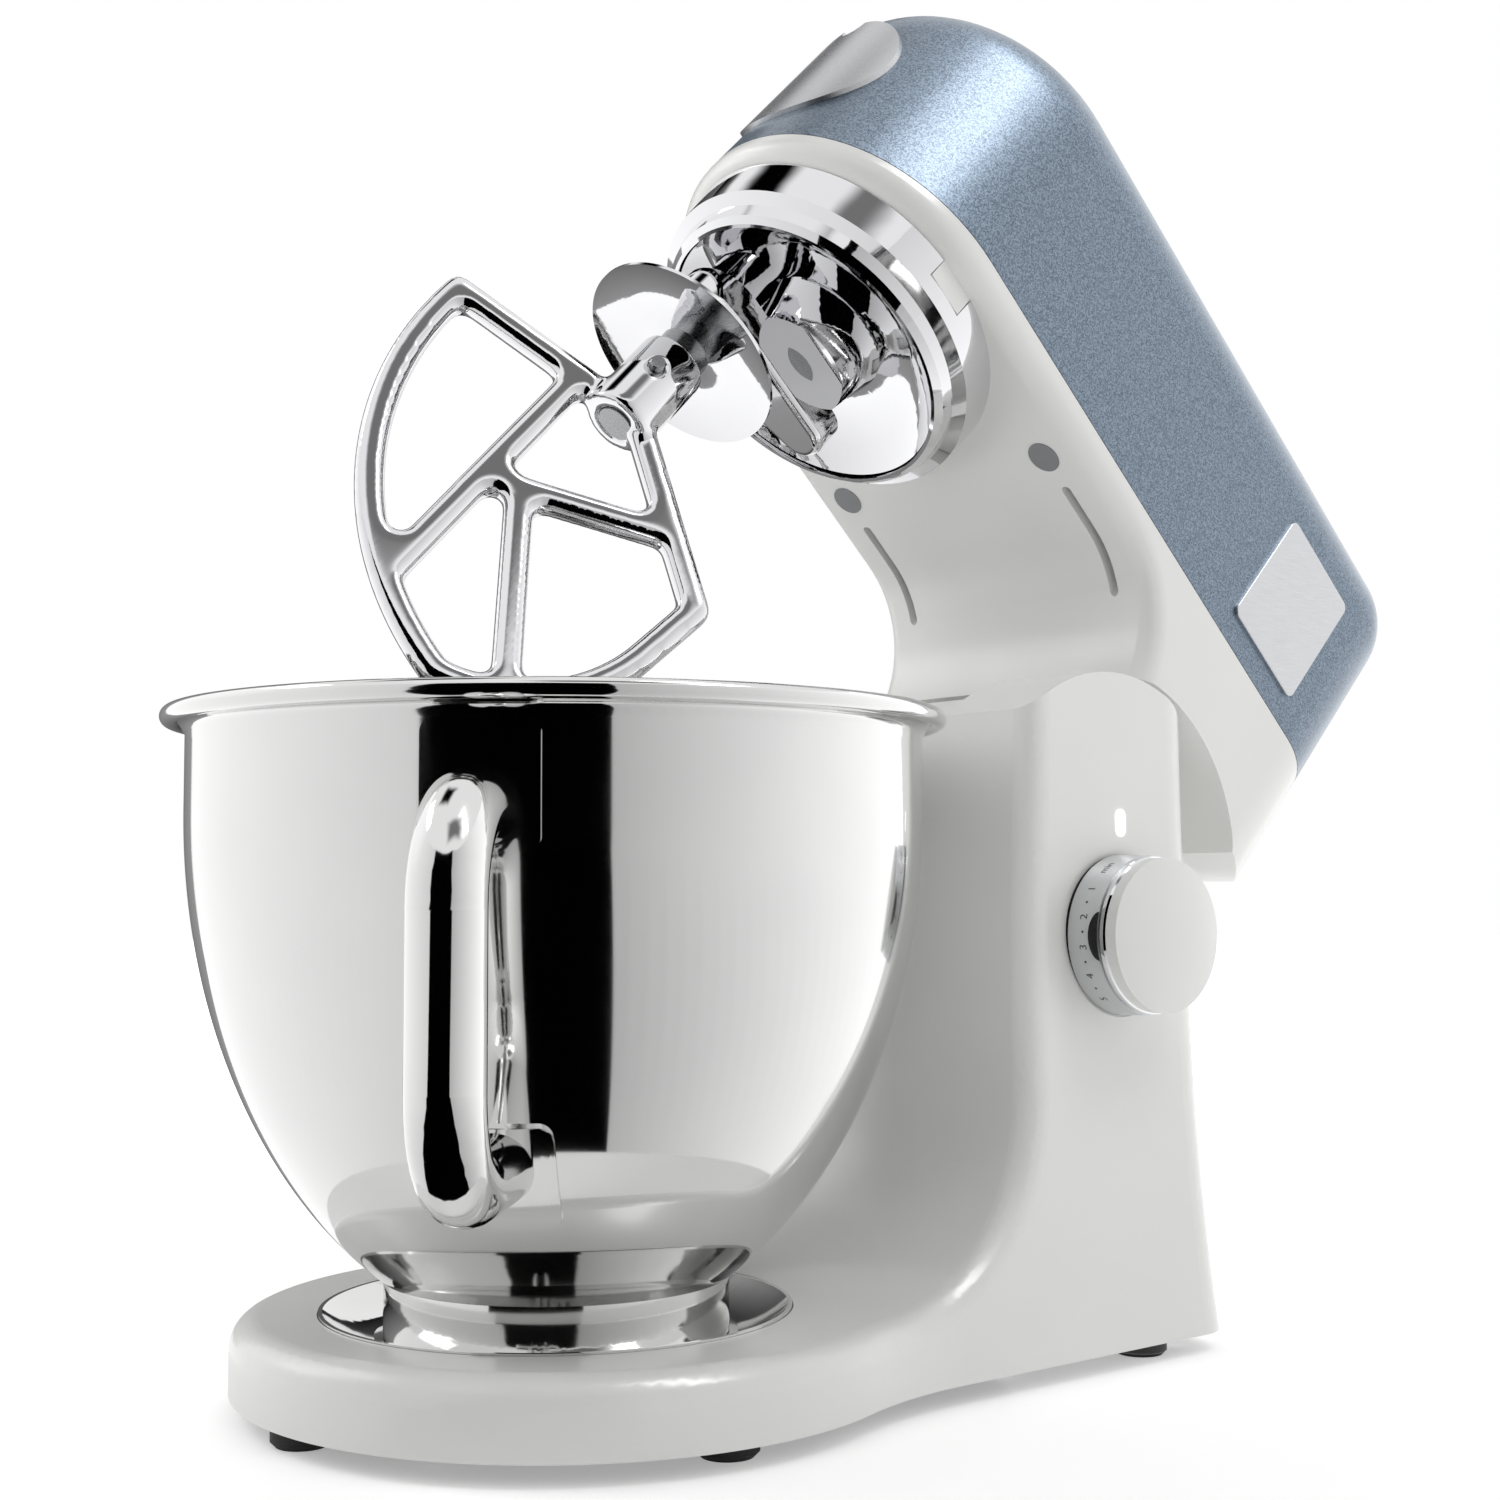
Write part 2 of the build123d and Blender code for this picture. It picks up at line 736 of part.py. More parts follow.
# Hinge pin in the column's cheeks
with BuildPart() as hinge_pin:
    with BuildSketch(Plane.YZ):
        with Locations((hinge_y, hinge_height)):
            Circle(pin_radius)
    extrude(amount=pin_half, both=True)
    chamfer(hinge_pin.edges().filter_by(GeomType.CIRCLE), pin_radius / 7)
hinge_pin.part.label = "hinge_pin"
export_step(hinge_pin.part, "parts/hinge_pin.step")

# Speed control inside the column
with BuildPart() as control_board:
    with BuildSketch(Plane.XZ.offset(-bowl_y - column_room_front - post_length)):
        with Locations((0, (board_low + board_high) / 2)):
            Rectangle(2 * board_half, board_high - board_low)
    extrude(amount=-board_thickness)
    with BuildSketch(Plane.XZ.offset(-bowl_y - column_room_front - post_length - board_thickness)):
        with Locations((0, (board_low + board_high) / 2)):
            Rectangle(board_half, board_half / 2)
        for side in (-board_half / 2, board_half / 2):
            with Locations((side, board_low + board_half / 3)):
                Circle(board_half / 5)
    extrude(amount=-board_half / 2)
control_board.part.label = "control_board"
export_step(control_board.part, "parts/control_board.step")

with BuildPart() as speed_sensor:
    with BuildSketch(Plane.YZ.offset(sensor_outer)):
        with Locations((knob_y, knob_height)):
            Circle(sensor_radius)
            Circle(spindle_radius + running_fit, mode=Mode.SUBTRACT)
    extrude(amount=-sensor_depth)
speed_sensor.part.label = "speed_sensor"
export_step(speed_sensor.part, "parts/speed_sensor.step")

with BuildPart() as indicator_light:
    with BuildSketch(Plane.YZ.offset(light_inner)):
        with Locations((light_y, light_z)):
            SlotOverall(light_height, light_width, rotation=90)
    extrude(amount=light_outer - light_inner)
indicator_light.part.label = "indicator_light"
export_step(indicator_light.part, "parts/indicator_light.step")

with BuildPart() as cord_gland:
    with BuildSketch(Plane.XZ.offset(-bowl_y - column_rear)):
        with Locations((gland_x, gland_z)):
            Circle(gland_radius)
            Circle(gland_bore, mode=Mode.SUBTRACT)
    extrude(amount=column_rear - room_rear)
    with BuildSketch(Plane.XZ.offset(-bowl_y - column_rear)):
        with Locations((gland_x, gland_z)):
            Circle(gland_flange)
            Circle(gland_bore, mode=Mode.SUBTRACT)
    extrude(amount=-gland_lip)
cord_gland.part.label = "cord_gland"
export_step(cord_gland.part, "parts/cord_gland.step")

# Speed knob: scale ring, bright trim, domed cap and spindle
with BuildPart() as dial_ring:
    with BuildSketch(KNOB):
        with BuildLine():
            Polyline(
                (dial_inner, spindle_radius + press_gap),
                (dial_inner, knob_radius),
                (dial_outer, knob_radius - knob_taper),
                (dial_outer, spindle_radius + press_gap),
                close=True,
            )
        make_face()
    revolve(axis=KNOB_AXIS)
dial_ring.part.label = "dial_ring"
export_step(dial_ring.part, "parts/dial_ring.step")

with BuildPart() as knob_trim:
    with BuildSketch(KNOB):
        with BuildLine():
            Polyline(
                (dial_outer, spindle_radius + press_gap),
                (dial_outer, trim_radius),
                (trim_outer, trim_radius),
                (trim_outer, spindle_radius + press_gap),
                close=True,
            )
        make_face()
    revolve(axis=KNOB_AXIS)
    chamfer(knob_trim.edges().filter_by(GeomType.CIRCLE).sort_by(SortBy.LENGTH)[-2:], trim_depth / 4)
knob_trim.part.label = "knob_trim"
export_step(knob_trim.part, "parts/knob_trim.step")

cap_sphere = (cap_radius**2 + cap_dome**2) / (2 * cap_dome)
cap_top = (cap_outer + cap_dome, 0)
cap_edge = (cap_outer, cap_radius)
cap_centre = (cap_top[0] - cap_sphere, 0)

with BuildPart() as knob_cap:
    with BuildSketch(KNOB):
        with BuildLine():
            Polyline(cap_top, (trim_outer, 0), (trim_outer, cap_radius), cap_edge)
            ThreePointArc(cap_edge, arc_middle(cap_centre, cap_sphere, cap_edge, cap_top), cap_top)
        make_face()
    revolve(axis=KNOB_AXIS)
knob_cap.part.label = "knob_cap"
export_step(knob_cap.part, "parts/knob_cap.step")

with BuildPart() as knob_spindle:
    with BuildSketch(Plane.YZ.offset(sensor_outer - sensor_depth / 2)):
        with Locations((knob_y, knob_height)):
            Circle(spindle_radius)
    extrude(amount=trim_outer - sensor_outer + sensor_depth / 2)
knob_spindle.part.label = "knob_spindle"
export_step(knob_spindle.part, "parts/knob_spindle.step")

# Head release: lever outside, shaft through the wall and pawl under the hinge lug
with BuildPart() as release_lever:
    with BuildSketch(Plane.YZ.offset(-lever_inner)):
        with Locations((bowl_y + lever_y, lever_z)):
            Circle(lever_boss)
        with Locations((bowl_y + lever_y + lever_length, lever_z - lever_length / 3)):
            Circle(lever_boss / 2)
        make_hull()
    extrude(amount=-lever_thickness)
    fillet(release_lever.faces().sort_by(Axis.X)[0].edges(), lever_thickness / 4)
    with BuildSketch(Plane.YZ.offset(-lever_inner)):
        with Locations((bowl_y + lever_y, lever_z)):
            Circle(lever_shaft_radius + press_gap)
    extrude(amount=-lever_thickness / 2, mode=Mode.SUBTRACT)
release_lever.part.label = "release_lever"
export_step(release_lever.part, "parts/release_lever.step")

with BuildPart() as lever_shaft:
    with BuildSketch(Plane.YZ.offset(-lever_inner - lever_thickness / 2)):
        with Locations((bowl_y + lever_y, lever_z)):
            Circle(lever_shaft_radius)
    extrude(amount=lever_inner + lever_thickness / 2 + pawl_half)
lever_shaft.part.label = "lever_shaft"
export_step(lever_shaft.part, "parts/lever_shaft.step")

with BuildPart() as latch_pawl:
    with BuildSketch(Plane.YZ):
        with Locations((bowl_y + lever_y, lever_z)):
            Circle(2 * lever_shaft_radius)
        with Locations((bowl_y + lever_y + pawl_reach, pawl_tip_z)):
            Circle(pawl_tip)
        make_hull()
        with Locations((bowl_y + lever_y, lever_z)):
            Circle(lever_shaft_radius + press_gap, mode=Mode.SUBTRACT)
    extrude(amount=pawl_half, both=True)
latch_pawl.part.label = "latch_pawl"
export_step(latch_pawl.part, "parts/latch_pawl.step")

# Bowl: a deep steel bowl with a rolled rim
bowl_inner = bowl_radius - bowl_wall

with BuildPart() as bowl:
    with BuildSketch(BOWL):
        with BuildLine():
            outer = bowl_curve(0, bowl_floor)
            inner = bowl_curve(-bowl_wall, bowl_floor + bowl_wall)
            add(outer)
            add(inner)
            Polyline(
                outer @ 1,
                (bowl_radius, flare_start),
                (bowl_radius + flare_reach, rim_height),
                (bowl_inner + flare_reach, rim_height),
                (bowl_inner, flare_start),
                inner @ 1,
            )
            Polyline(outer @ 0, (0, bowl_floor), (0, bowl_floor + bowl_wall), inner @ 0)
        make_face()
        with Locations((rim_radius, rim_height)):
            Circle(bead_radius)
    revolve(axis=BOWL_AXIS)
bowl.part.label = "bowl"
export_step(bowl.part, "parts/bowl.step")

tab_inner = lock_ring_radius + lock_reach / 3

with BuildPart() as bowl_foot:
    with BuildSketch(BOWL):
        with BuildLine():
            Polyline(
                (foot_ring_inner, seat_top + part_gap),
                (foot_ring_radius, seat_top + part_gap),
                (foot_ring_radius, bowl_skin_z(foot_ring_radius) - press_gap),
                (foot_ring_inner, bowl_skin_z(foot_ring_inner) - press_gap),
                close=True,
            )
        make_face()
    revolve(axis=BOWL_AXIS)
    with BuildSketch(Plane((0, bowl_y, seat_top + part_gap))):
        with PolarLocations(0, lock_count):
            add(ring_sector(tab_inner, foot_ring_inner + foot_ring_wall / 2, tab_angle))
    extrude(amount=lock_height / 2 - 3 * part_gap)
bowl_foot.part.label = "bowl_foot"
export_step(bowl_foot.part, "parts/bowl_foot.step")

with BuildPart() as bowl_handle:
    with BuildLine(HANDLE) as handle_path:
        FilletPolyline(
            (bowl_inner - handle_tube, handle_top),
            (handle_reach, handle_top),
            (handle_reach, handle_bottom),
            (pad_low_radius - handle_tube, handle_bottom),
            radius=handle_bend,
        )
    with BuildSketch(handle_path.line ^ 0):
        Circle(handle_tube)
    sweep()
    with BuildSketch(BOWL):
        make_face(bowl_skin(pad_thickness + 2 * press_gap))
    revolve(axis=BOWL_AXIS, mode=Mode.SUBTRACT)
bowl_handle.part.label = "bowl_handle"
export_step(bowl_handle.part, "parts/bowl_handle.step")

with BuildPart() as handle_pads:
    with BuildSketch(BOWL):
        make_face(bowl_skin(pad_thickness + press_gap))
    revolve(axis=BOWL_AXIS)
    with BuildSketch(BOWL):
        make_face(bowl_skin(press_gap))
    revolve(axis=BOWL_AXIS, mode=Mode.SUBTRACT)
    with BuildSketch(HANDLE_FACE):
        with Locations((0, pad_top_z)):
            RectangleRounded(pad_width, pad_height, pad_width / 8)
        with Locations((0, pad_bottom_z)):
            RectangleRounded(pad_width, low_pad_height, pad_width / 8)
    extrude(amount=2 * bowl_radius, mode=Mode.INTERSECT)
handle_pads.part.label = "handle_pads"
export_step(handle_pads.part, "parts/handle_pads.step")

# Head casting: underside, hub face, neck and hinge lug in one piece
recess_centre = (hinge_reach + recess_lead / 2, hinge_z_in_head)
recess_radius = arch_radius + recess_gap + recess_lead / 2
slot_lug = slot_depth - part_gap - slot_lug_inset
neck_tip = circles_meet((cove_y, -cove_radius), cove_radius, recess_centre, recess_radius)
lip_start = (recess_centre[0] + sqrt(recess_radius**2 - (lip_z - recess_centre[1]) ** 2), lip_z)

with BuildPart() as head_casting:
    with BuildSketch(head_level(2 * lip_z)):
        make_face(head_outline())
    extrude(amount=parting_z - 2 * lip_z)
    with BuildSketch(head_side()):
        with BuildLine():
            Line((-2 * head_half, 0), (cove_y, 0))
            ThreePointArc(
                (cove_y, 0), arc_middle((cove_y, -cove_radius), cove_radius, (cove_y, 0), neck_tip), neck_tip
            )
            ThreePointArc(neck_tip, arc_middle(recess_centre, recess_radius, neck_tip, lip_start), lip_start)
            Line(lip_start, (head_rear - lip_round, lip_z))
            RadiusArc((head_rear - lip_round, lip_z), (head_rear, lip_z + lip_round), -lip_round)
            Polyline(
                (head_rear, lip_z + lip_round),
                (head_rear, 2 * parting_z),
                (-2 * head_half, 2 * parting_z),
                (-2 * head_half, 0),
            )
        make_face()
    extrude(amount=2 * head_half, both=True, mode=Mode.INTERSECT)
    flats = head_casting.faces().filter_by(GeomType.PLANE)
    under = [f for f in flats if abs(HEAD.to_local_coords(f.center()).Z) < part_gap]
    rolled = head_casting.faces().filter_by(GeomType.CYLINDER)
    under += [f for f in rolled if abs(f.radius - cove_radius) < part_gap]
    soft = ShapeList(e for f in under for e in f.edges())
    soft = soft.filter_by(lambda e: abs(e.tangent_at(0.5).X) < 0.999 or e.geom_type == GeomType.CIRCLE)
    fillet(soft, underside_round)
    with BuildSketch(head_level(floor_thickness)):
        make_face(head_outline(casting_wall))
    extrude(amount=parting_z, mode=Mode.SUBTRACT)
    with BuildSketch(head_side()):
        with Locations((hinge_reach, hinge_z_in_head)):
            Circle(lug_radius)
            Rectangle(2 * web_half, recess_radius + web_half / 2, align=(Align.CENTER, Align.MIN))
    extrude(amount=lug_half, both=True)
    with BuildSketch(head_side()):
        with Locations((hinge_reach, hinge_z_in_head)):
            Circle(bush_radius + press_gap)
    extrude(amount=lug_half, both=True, mode=Mode.SUBTRACT)
    with BuildSketch(head_level(lip_z)):
        Circle(ring_outer + running_fit)
        with Locations((vent_x, (vent_start + vent_end) / 2), (-vent_x, (vent_start + vent_end) / 2)):
            SlotOverall(vent_end - vent_start, vent_width, rotation=90)
    extrude(amount=parting_z - lip_z, mode=Mode.SUBTRACT)
    with BuildSketch(head_level(lip_z)):
        with Locations((plug_x, plug_y), (-plug_x, plug_y)):
            Circle(plug_radius + press_gap)
    extrude(amount=plug_depth - lip_z, mode=Mode.SUBTRACT)
    with BuildSketch(head_level(floor_thickness - 3 * screw_radius / 2)):
        with PolarLocations(housing_screw_reach, housing_screw_count, 45):
            Circle(screw_radius + press_gap)
    extrude(amount=parting_z, mode=Mode.SUBTRACT)
    with BuildSketch(head_level(part_gap - slot_height)):
        with PolarLocations(hub_radius - slot_depth + part_gap, slot_count):
            with Locations((slot_lug / 2, 0)):
                Rectangle(slot_lug, slot_width - 2 * part_gap)
    extrude(amount=slot_height + floor_thickness / 2)
head_casting.part.label = "head_casting"
export_step(head_casting.part, "parts/head_casting.step")

with BuildPart() as hinge_bushes:
    for side in (-lug_half, lug_half - bush_length):
        with BuildSketch(head_side(side)):
            with Locations((hinge_reach, hinge_z_in_head)):
                Circle(bush_radius)
                Circle(pin_radius + running_fit, mode=Mode.SUBTRACT)
        extrude(amount=bush_length)
hinge_bushes.part.label = "hinge_bushes"
export_step(hinge_bushes.part, "parts/hinge_bushes.step")

with BuildPart() as screw_plugs:
    with BuildSketch(head_level(-part_gap)):
        with Locations((plug_x, plug_y), (-plug_x, plug_y)):
            Circle(plug_radius)
    extrude(amount=plug_depth + part_gap)
screw_plugs.part.label = "screw_plugs"
export_step(screw_plugs.part, "parts/screw_plugs.step")

with BuildPart() as head_cover:
    with BuildSketch(head_level(parting_z + part_gap)):
        make_face(head_outline())
    extrude(amount=head_top - parting_z - part_gap)
    fillet(head_cover.faces().sort_by(hub_axis())[-1].edges(), crown_round)
    offset(amount=-cover_wall, openings=head_cover.faces().sort_by(hub_axis())[0])
    with BuildSketch(head_front(nose_shift - head_half / 2)):
        with Locations((0, outlet_z)):
            Circle(outlet_hole)
    extrude(amount=head_half, mode=Mode.SUBTRACT)
head_cover.part.label = "head_cover"
export_step(head_cover.part, "parts/head_cover.step")

with BuildPart() as badge_plate:
    with BuildSketch(head_side(head_half)):
        with Locations((badge_y, badge_z)):
            RectangleRounded(badge_width, badge_height, badge_corner)
    extrude(amount=badge_thickness)
    fillet(badge_plate.faces().sort_by(Axis.X)[-1].edges(), badge_thickness / 3)
badge_plate.part.label = "badge_plate"
export_step(badge_plate.part, "parts/badge_plate.step")

# Cap over the front outlet, curved to the nose
with BuildPart() as outlet_cover:
    with BuildSketch(head_level(parting_z + part_gap)):
        with Locations((0, nose_shift)):
            Circle(head_half + press_gap + outlet_thickness)
            Circle(head_half + press_gap, mode=Mode.SUBTRACT)
    extrude(amount=head_top - parting_z)
    with BuildSketch(head_front(-2 * head_half)):
        with Locations((0, outlet_low + outlet_height / 2)):
            Ellipse(outlet_width / 2, outlet_height / 2)
        with Locations((0, outlet_low + outlet_height)):
            Circle(outlet_notch, mode=Mode.SUBTRACT)
    extrude(amount=-2 * head_half, mode=Mode.INTERSECT)
outlet_cover.part.label = "outlet_cover"
export_step(outlet_cover.part, "parts/outlet_cover.step")

# Hub ring and fixed ring gear
with BuildPart() as hub_ring:
    with BuildSketch(hub_section()):
        with BuildLine():
            Polyline(
                (hub_bore + slot_depth, 0),
                (hub_radius, 0),
                (hub_radius - hub_draft, -hub_band),
                (hub_radius - hub_step, -hub_band - hub_edge),
                (lip_radius + hub_edge, hub_edge - lip_depth),
                (lip_radius, -lip_depth),
                (hub_bore, -lip_depth),
                (hub_bore, -hub_band),
                (hub_bore + slot_depth, -hub_band + slot_depth),
                close=True,
            )
        make_face()
    revolve(axis=hub_axis())
    with BuildSketch(head_level(-slot_height)):
        with PolarLocations(hub_radius, slot_count):
            Rectangle(2 * slot_depth, slot_width)
    extrude(amount=slot_height, mode=Mode.SUBTRACT)
hub_ring.part.label = "hub_ring"
export_step(hub_ring.part, "parts/hub_ring.step")

with BuildPart() as ring_gear:
    with BuildSketch(head_level(ring_low)):
        Circle(ring_outer)
        Circle(ring_radius + mesh_gap / 2, mode=Mode.SUBTRACT)
    extrude(amount=ring_face)
ring_gear.part.label = "ring_gear"
export_step(ring_gear.part, "parts/ring_gear.step")

with BuildPart() as bearing_housing:
    with BuildSketch(hub_section()):
        with BuildLine():
            Polyline(
                (bearing_radius + press_gap, floor_thickness),
                (housing_radius, floor_thickness),
                (housing_radius, floor_thickness + housing_flange),
                (housing_tube, floor_thickness + housing_flange),
                (housing_tube, housing_top),
                (bearing_radius + press_gap, housing_top),
                close=True,
            )
        make_face()
    revolve(axis=hub_axis())
    with BuildSketch(head_level(floor_thickness)):
        with PolarLocations(housing_screw_reach, housing_screw_count, 45):
            Circle(screw_radius + press_gap)
    extrude(amount=housing_flange, mode=Mode.SUBTRACT)
bearing_housing.part.label = "bearing_housing"
export_step(bearing_housing.part, "parts/bearing_housing.step")

with BuildPart() as housing_screws:
    with BuildSketch(head_level(floor_thickness - 3 * screw_radius / 2)):
        with PolarLocations(housing_screw_reach, housing_screw_count, 45):
            Circle(screw_radius)
    extrude(amount=3 * screw_radius / 2 + housing_flange)
    with BuildSketch(head_level(floor_thickness + housing_flange)):
        with PolarLocations(housing_screw_reach, housing_screw_count, 45):
            Circle(screw_head_radius)
    extrude(amount=screw_head)
housing_screws.part.label = "housing_screws"
export_step(housing_screws.part, "parts/housing_screws.step")

with BuildPart() as bearings:
    for level in (floor_thickness + bearing_seat, housing_top - bearing_width):
        with BuildSketch(head_level(level)):
            Circle(bearing_radius)
            Circle(carrier_shaft_radius + running_fit, mode=Mode.SUBTRACT)
        extrude(amount=bearing_width)
bearings.part.label = "bearings"
export_step(bearings.part, "parts/bearings.step")

# Planet carrier: polished dish, hub and the arm that holds the tool shaft
carrier_radius = hub_bore - carrier_gap
dish_belly = (
    (dish_hub + carrier_radius) / 2 + dish_belly_out,
    (dish_top + dish_rim) / 2 + dish_belly_up,
)

with BuildPart() as planet_carrier:
    with BuildSketch(hub_section()):
        with BuildLine():
            ThreePointArc(
                (dish_hub, dish_top),
                dish_belly,
                (carrier_radius, dish_rim),
            )
            Line((carrier_radius, dish_rim), (carrier_radius, dish_rim - dish_wall))
            ThreePointArc(
                (carrier_radius, dish_rim - dish_wall),
                (dish_belly[0], dish_belly[1] - dish_wall),
                (dish_hub + dish_wall, dish_top - hub_foot),
            )
            Polyline(
                (dish_hub + dish_wall, dish_top - hub_foot),
                (dish_hub - hub_draft, arm_top),
                (carrier_shaft_radius + press_gap, arm_top),
                (carrier_shaft_radius + press_gap, dish_top),
                (dish_hub, dish_top),
            )
        make_face()
    revolve(axis=hub_axis())
    with BuildSketch(head_level(arm_top)):
        with Locations((tool_x, tool_y)):
            Circle(tool_radius + 2 * bush_wall)
    extrude(amount=dish_top - arm_top - hub_draft)
    with BuildSketch(head_level(arm_bottom)):
        with Locations((tool_x, tool_y)):
            Circle(arm_big)
        with Locations((arm_small_x, arm_small_y)):
            Circle(arm_small)
        make_hull()
    extrude(amount=arm_top - arm_bottom)
    fillet(planet_carrier.faces().sort_by(hub_axis())[0].edges(), bar_round)
    with BuildSketch(head_level(arm_bottom)):
        with Locations((tool_x, tool_y)):
            Circle(tool_radius + bush_wall + press_gap)
    extrude(amount=-arm_bottom, mode=Mode.SUBTRACT)
planet_carrier.part.label = "planet_carrier"
export_step(planet_carrier.part, "parts/planet_carrier.step")

with BuildPart() as carrier_shaft:
    with BuildSketch(head_level(arm_top)):
        Circle(carrier_shaft_radius)
    extrude(amount=crown_high - arm_top)
carrier_shaft.part.label = "carrier_shaft"
export_step(carrier_shaft.part, "parts/carrier_shaft.step")

with BuildPart() as crown_gear:
    with BuildSketch(hub_section()):
        with BuildLine():
            Polyline(
                (carrier_shaft_radius + press_gap, crown_low),
                (crown_radius, crown_low),
                (crown_radius, crown_high),
                (shaft_front - mesh_gap, crown_high),
                (shaft_front - mesh_gap, (crown_low + crown_high) / 2),
                (carrier_shaft_radius + press_gap, (crown_low + crown_high) / 2),
                close=True,
            )
        make_face()
    revolve(axis=hub_axis())
crown_gear.part.label = "crown_gear"
export_step(crown_gear.part, "parts/crown_gear.step")

with BuildPart() as tool_bush:
    with BuildSketch(head_level(arm_bottom)):
        with Locations((tool_x, tool_y)):
            Circle(tool_radius + bush_wall)
            Circle(tool_radius + running_fit, mode=Mode.SUBTRACT)
    extrude(amount=dish_top - arm_bottom - hub_draft)
tool_bush.part.label = "tool_bush"
export_step(tool_bush.part, "parts/tool_bush.step")

# Tool shaft, its pinion, the drip disc and the cross pin that drives the beater
with BuildPart() as tool_shaft:
    with BuildSketch(head_level(-collar_bottom)):
        with Locations((tool_x, tool_y)):
            Circle(tool_radius)
    extrude(amount=collar_bottom + ring_low + ring_face - 2 * part_gap)
    with BuildSketch(head_level(-collar_top)):
        with Locations((tool_x, tool_y)):
            Circle(socket_radius)
    extrude(amount=collar_top + arm_bottom - 2 * part_gap)
    with BuildSketch(DRIVE_PIN):
        Circle(drive_pin_radius + press_gap)
    extrude(amount=socket_radius, both=True, mode=Mode.SUBTRACT)
tool_shaft.part.label = "tool_shaft"
export_step(tool_shaft.part, "parts/tool_shaft.step")

with BuildPart() as planet_pinion:
    with BuildSketch(head_level(ring_low + 2 * part_gap)):
        with Locations((tool_x, tool_y)):
            Circle(pinion_radius - mesh_gap / 2)
            Circle(tool_radius + press_gap, mode=Mode.SUBTRACT)
    extrude(amount=ring_face - 4 * part_gap)
planet_pinion.part.label = "planet_pinion"
export_step(planet_pinion.part, "parts/planet_pinion.step")

disc_eye = (socket_radius + press_gap, disc_z + disc_dish)
disc_mid = (disc_eye[0] + disc_radius) / 2
disc_high = disc_z + disc_dish / 2 + disc_bulge

with BuildPart() as drip_disc:
    with BuildSketch(hub_section(tool_x, tool_y)):
        with BuildLine():
            ThreePointArc(disc_eye, (disc_mid, disc_high), (disc_radius, disc_z))
            Line((disc_radius, disc_z), (disc_radius, disc_z - disc_thickness))
            ThreePointArc(
                (disc_radius, disc_z - disc_thickness),
                (disc_mid, disc_high - disc_thickness),
                (disc_eye[0], disc_eye[1] - disc_thickness),
            )
            Line((disc_eye[0], disc_eye[1] - disc_thickness), disc_eye)
        make_face()
    revolve(axis=hub_axis(tool_x, tool_y))
drip_disc.part.label = "drip_disc"
export_step(drip_disc.part, "parts/drip_disc.step")

with BuildPart() as drive_pin:
    with BuildSketch(DRIVE_PIN):
        Circle(drive_pin_radius)
    extrude(amount=collar_radius + drive_pin_radius, both=True)
drive_pin.part.label = "drive_pin"
export_step(drive_pin.part, "parts/drive_pin.step")

# Beater: a flat bow with a forked brace
bow_centre, bow_radius = circle_through(bow_end_point, bow_mid_point, bow_corner)
toe_centre, toe_radius = circle_through(heel_point, toe_point, bow_end_point)
brace_foot = (brace_x, bow_centre[1] - sqrt(bow_radius**2 - (brace_x - bow_centre[0]) ** 2))
arm_foot = (lower_arm_x, toe_centre[1] - sqrt(toe_radius**2 - (lower_arm_x - toe_centre[0]) ** 2))
leg_slope = (knee[1] - leg_start) / (knee[0] - bar_width)
arm_head = (upper_arm_x, -leg_start - leg_slope * (upper_arm_x - bar_width))
brace_head = (brace_x, -shoulder_drop)
fork_side = (brace_x, -brace_fork)
fork = (fork_x, -brace_fork)
leg_top = (bar_width, -leg_start)

with BuildLine() as left_window:
    Polyline(bow_corner, brace_head, brace_foot)
    ThreePointArc(brace_foot, arc_middle(bow_centre, bow_radius, brace_foot, bow_corner), bow_corner)
with BuildLine() as top_window:
    Polyline(brace_head, (0, -shoulder_drop), leg_top, arm_head, fork, fork_side, close=True)
with BuildLine() as right_window:
    Polyline(arm_foot, fork, arm_head, knee_point, heel_point)
    ThreePointArc(heel_point, arc_middle(toe_centre, toe_radius, heel_point, arm_foot), arm_foot)
with BuildLine() as low_window:
    Polyline(brace_foot, fork_side, fork, arm_foot)
    ThreePointArc(arm_foot, arc_middle(toe_centre, toe_radius, arm_foot, bow_end_point), bow_end_point)
    ThreePointArc(bow_end_point, arc_middle(bow_centre, bow_radius, bow_end_point, brace_foot), brace_foot)

with BuildPart() as beater:
    with BuildSketch(BEATER):
        with BuildLine():
            Polyline(bow_corner, (0, -shoulder_drop), leg_top, knee_point, heel_point)
            ThreePointArc(heel_point, toe_point, bow_end_point)
            ThreePointArc(bow_end_point, bow_mid_point, bow_corner)
        make_face()
        offset(amount=bar_width / 2, kind=Kind.ARC, mode=Mode.REPLACE)
        for window in (left_window, top_window, right_window, low_window):
            add(shrunk(window.edges(), -bar_width / 2, window_round), mode=Mode.SUBTRACT)
    extrude(amount=bar_depth / 2, both=True)
    flats = beater.faces().filter_by(lambda f: abs(f.normal_at().dot(BEATER.z_dir)) > 0.999)
    fillet(flats.edges(), bar_round)
    with BuildSketch(head_level(-collar_bottom)):
        with Locations((tool_x, tool_y)):
            Circle(collar_radius)
    extrude(amount=collar_bottom - collar_top - press_gap)
    with BuildSketch(head_level(-collar_bottom)):
        with Locations((tool_x, tool_y)):
            Circle(tool_radius + press_gap)
    extrude(amount=collar_bottom - collar_top, mode=Mode.SUBTRACT)
    with BuildSketch(DRIVE_PIN):
        Circle(drive_pin_radius + press_gap)
    extrude(amount=2 * collar_radius, both=True, mode=Mode.SUBTRACT)
beater.part.label = "beater"
export_step(beater.part, "parts/beater.step")

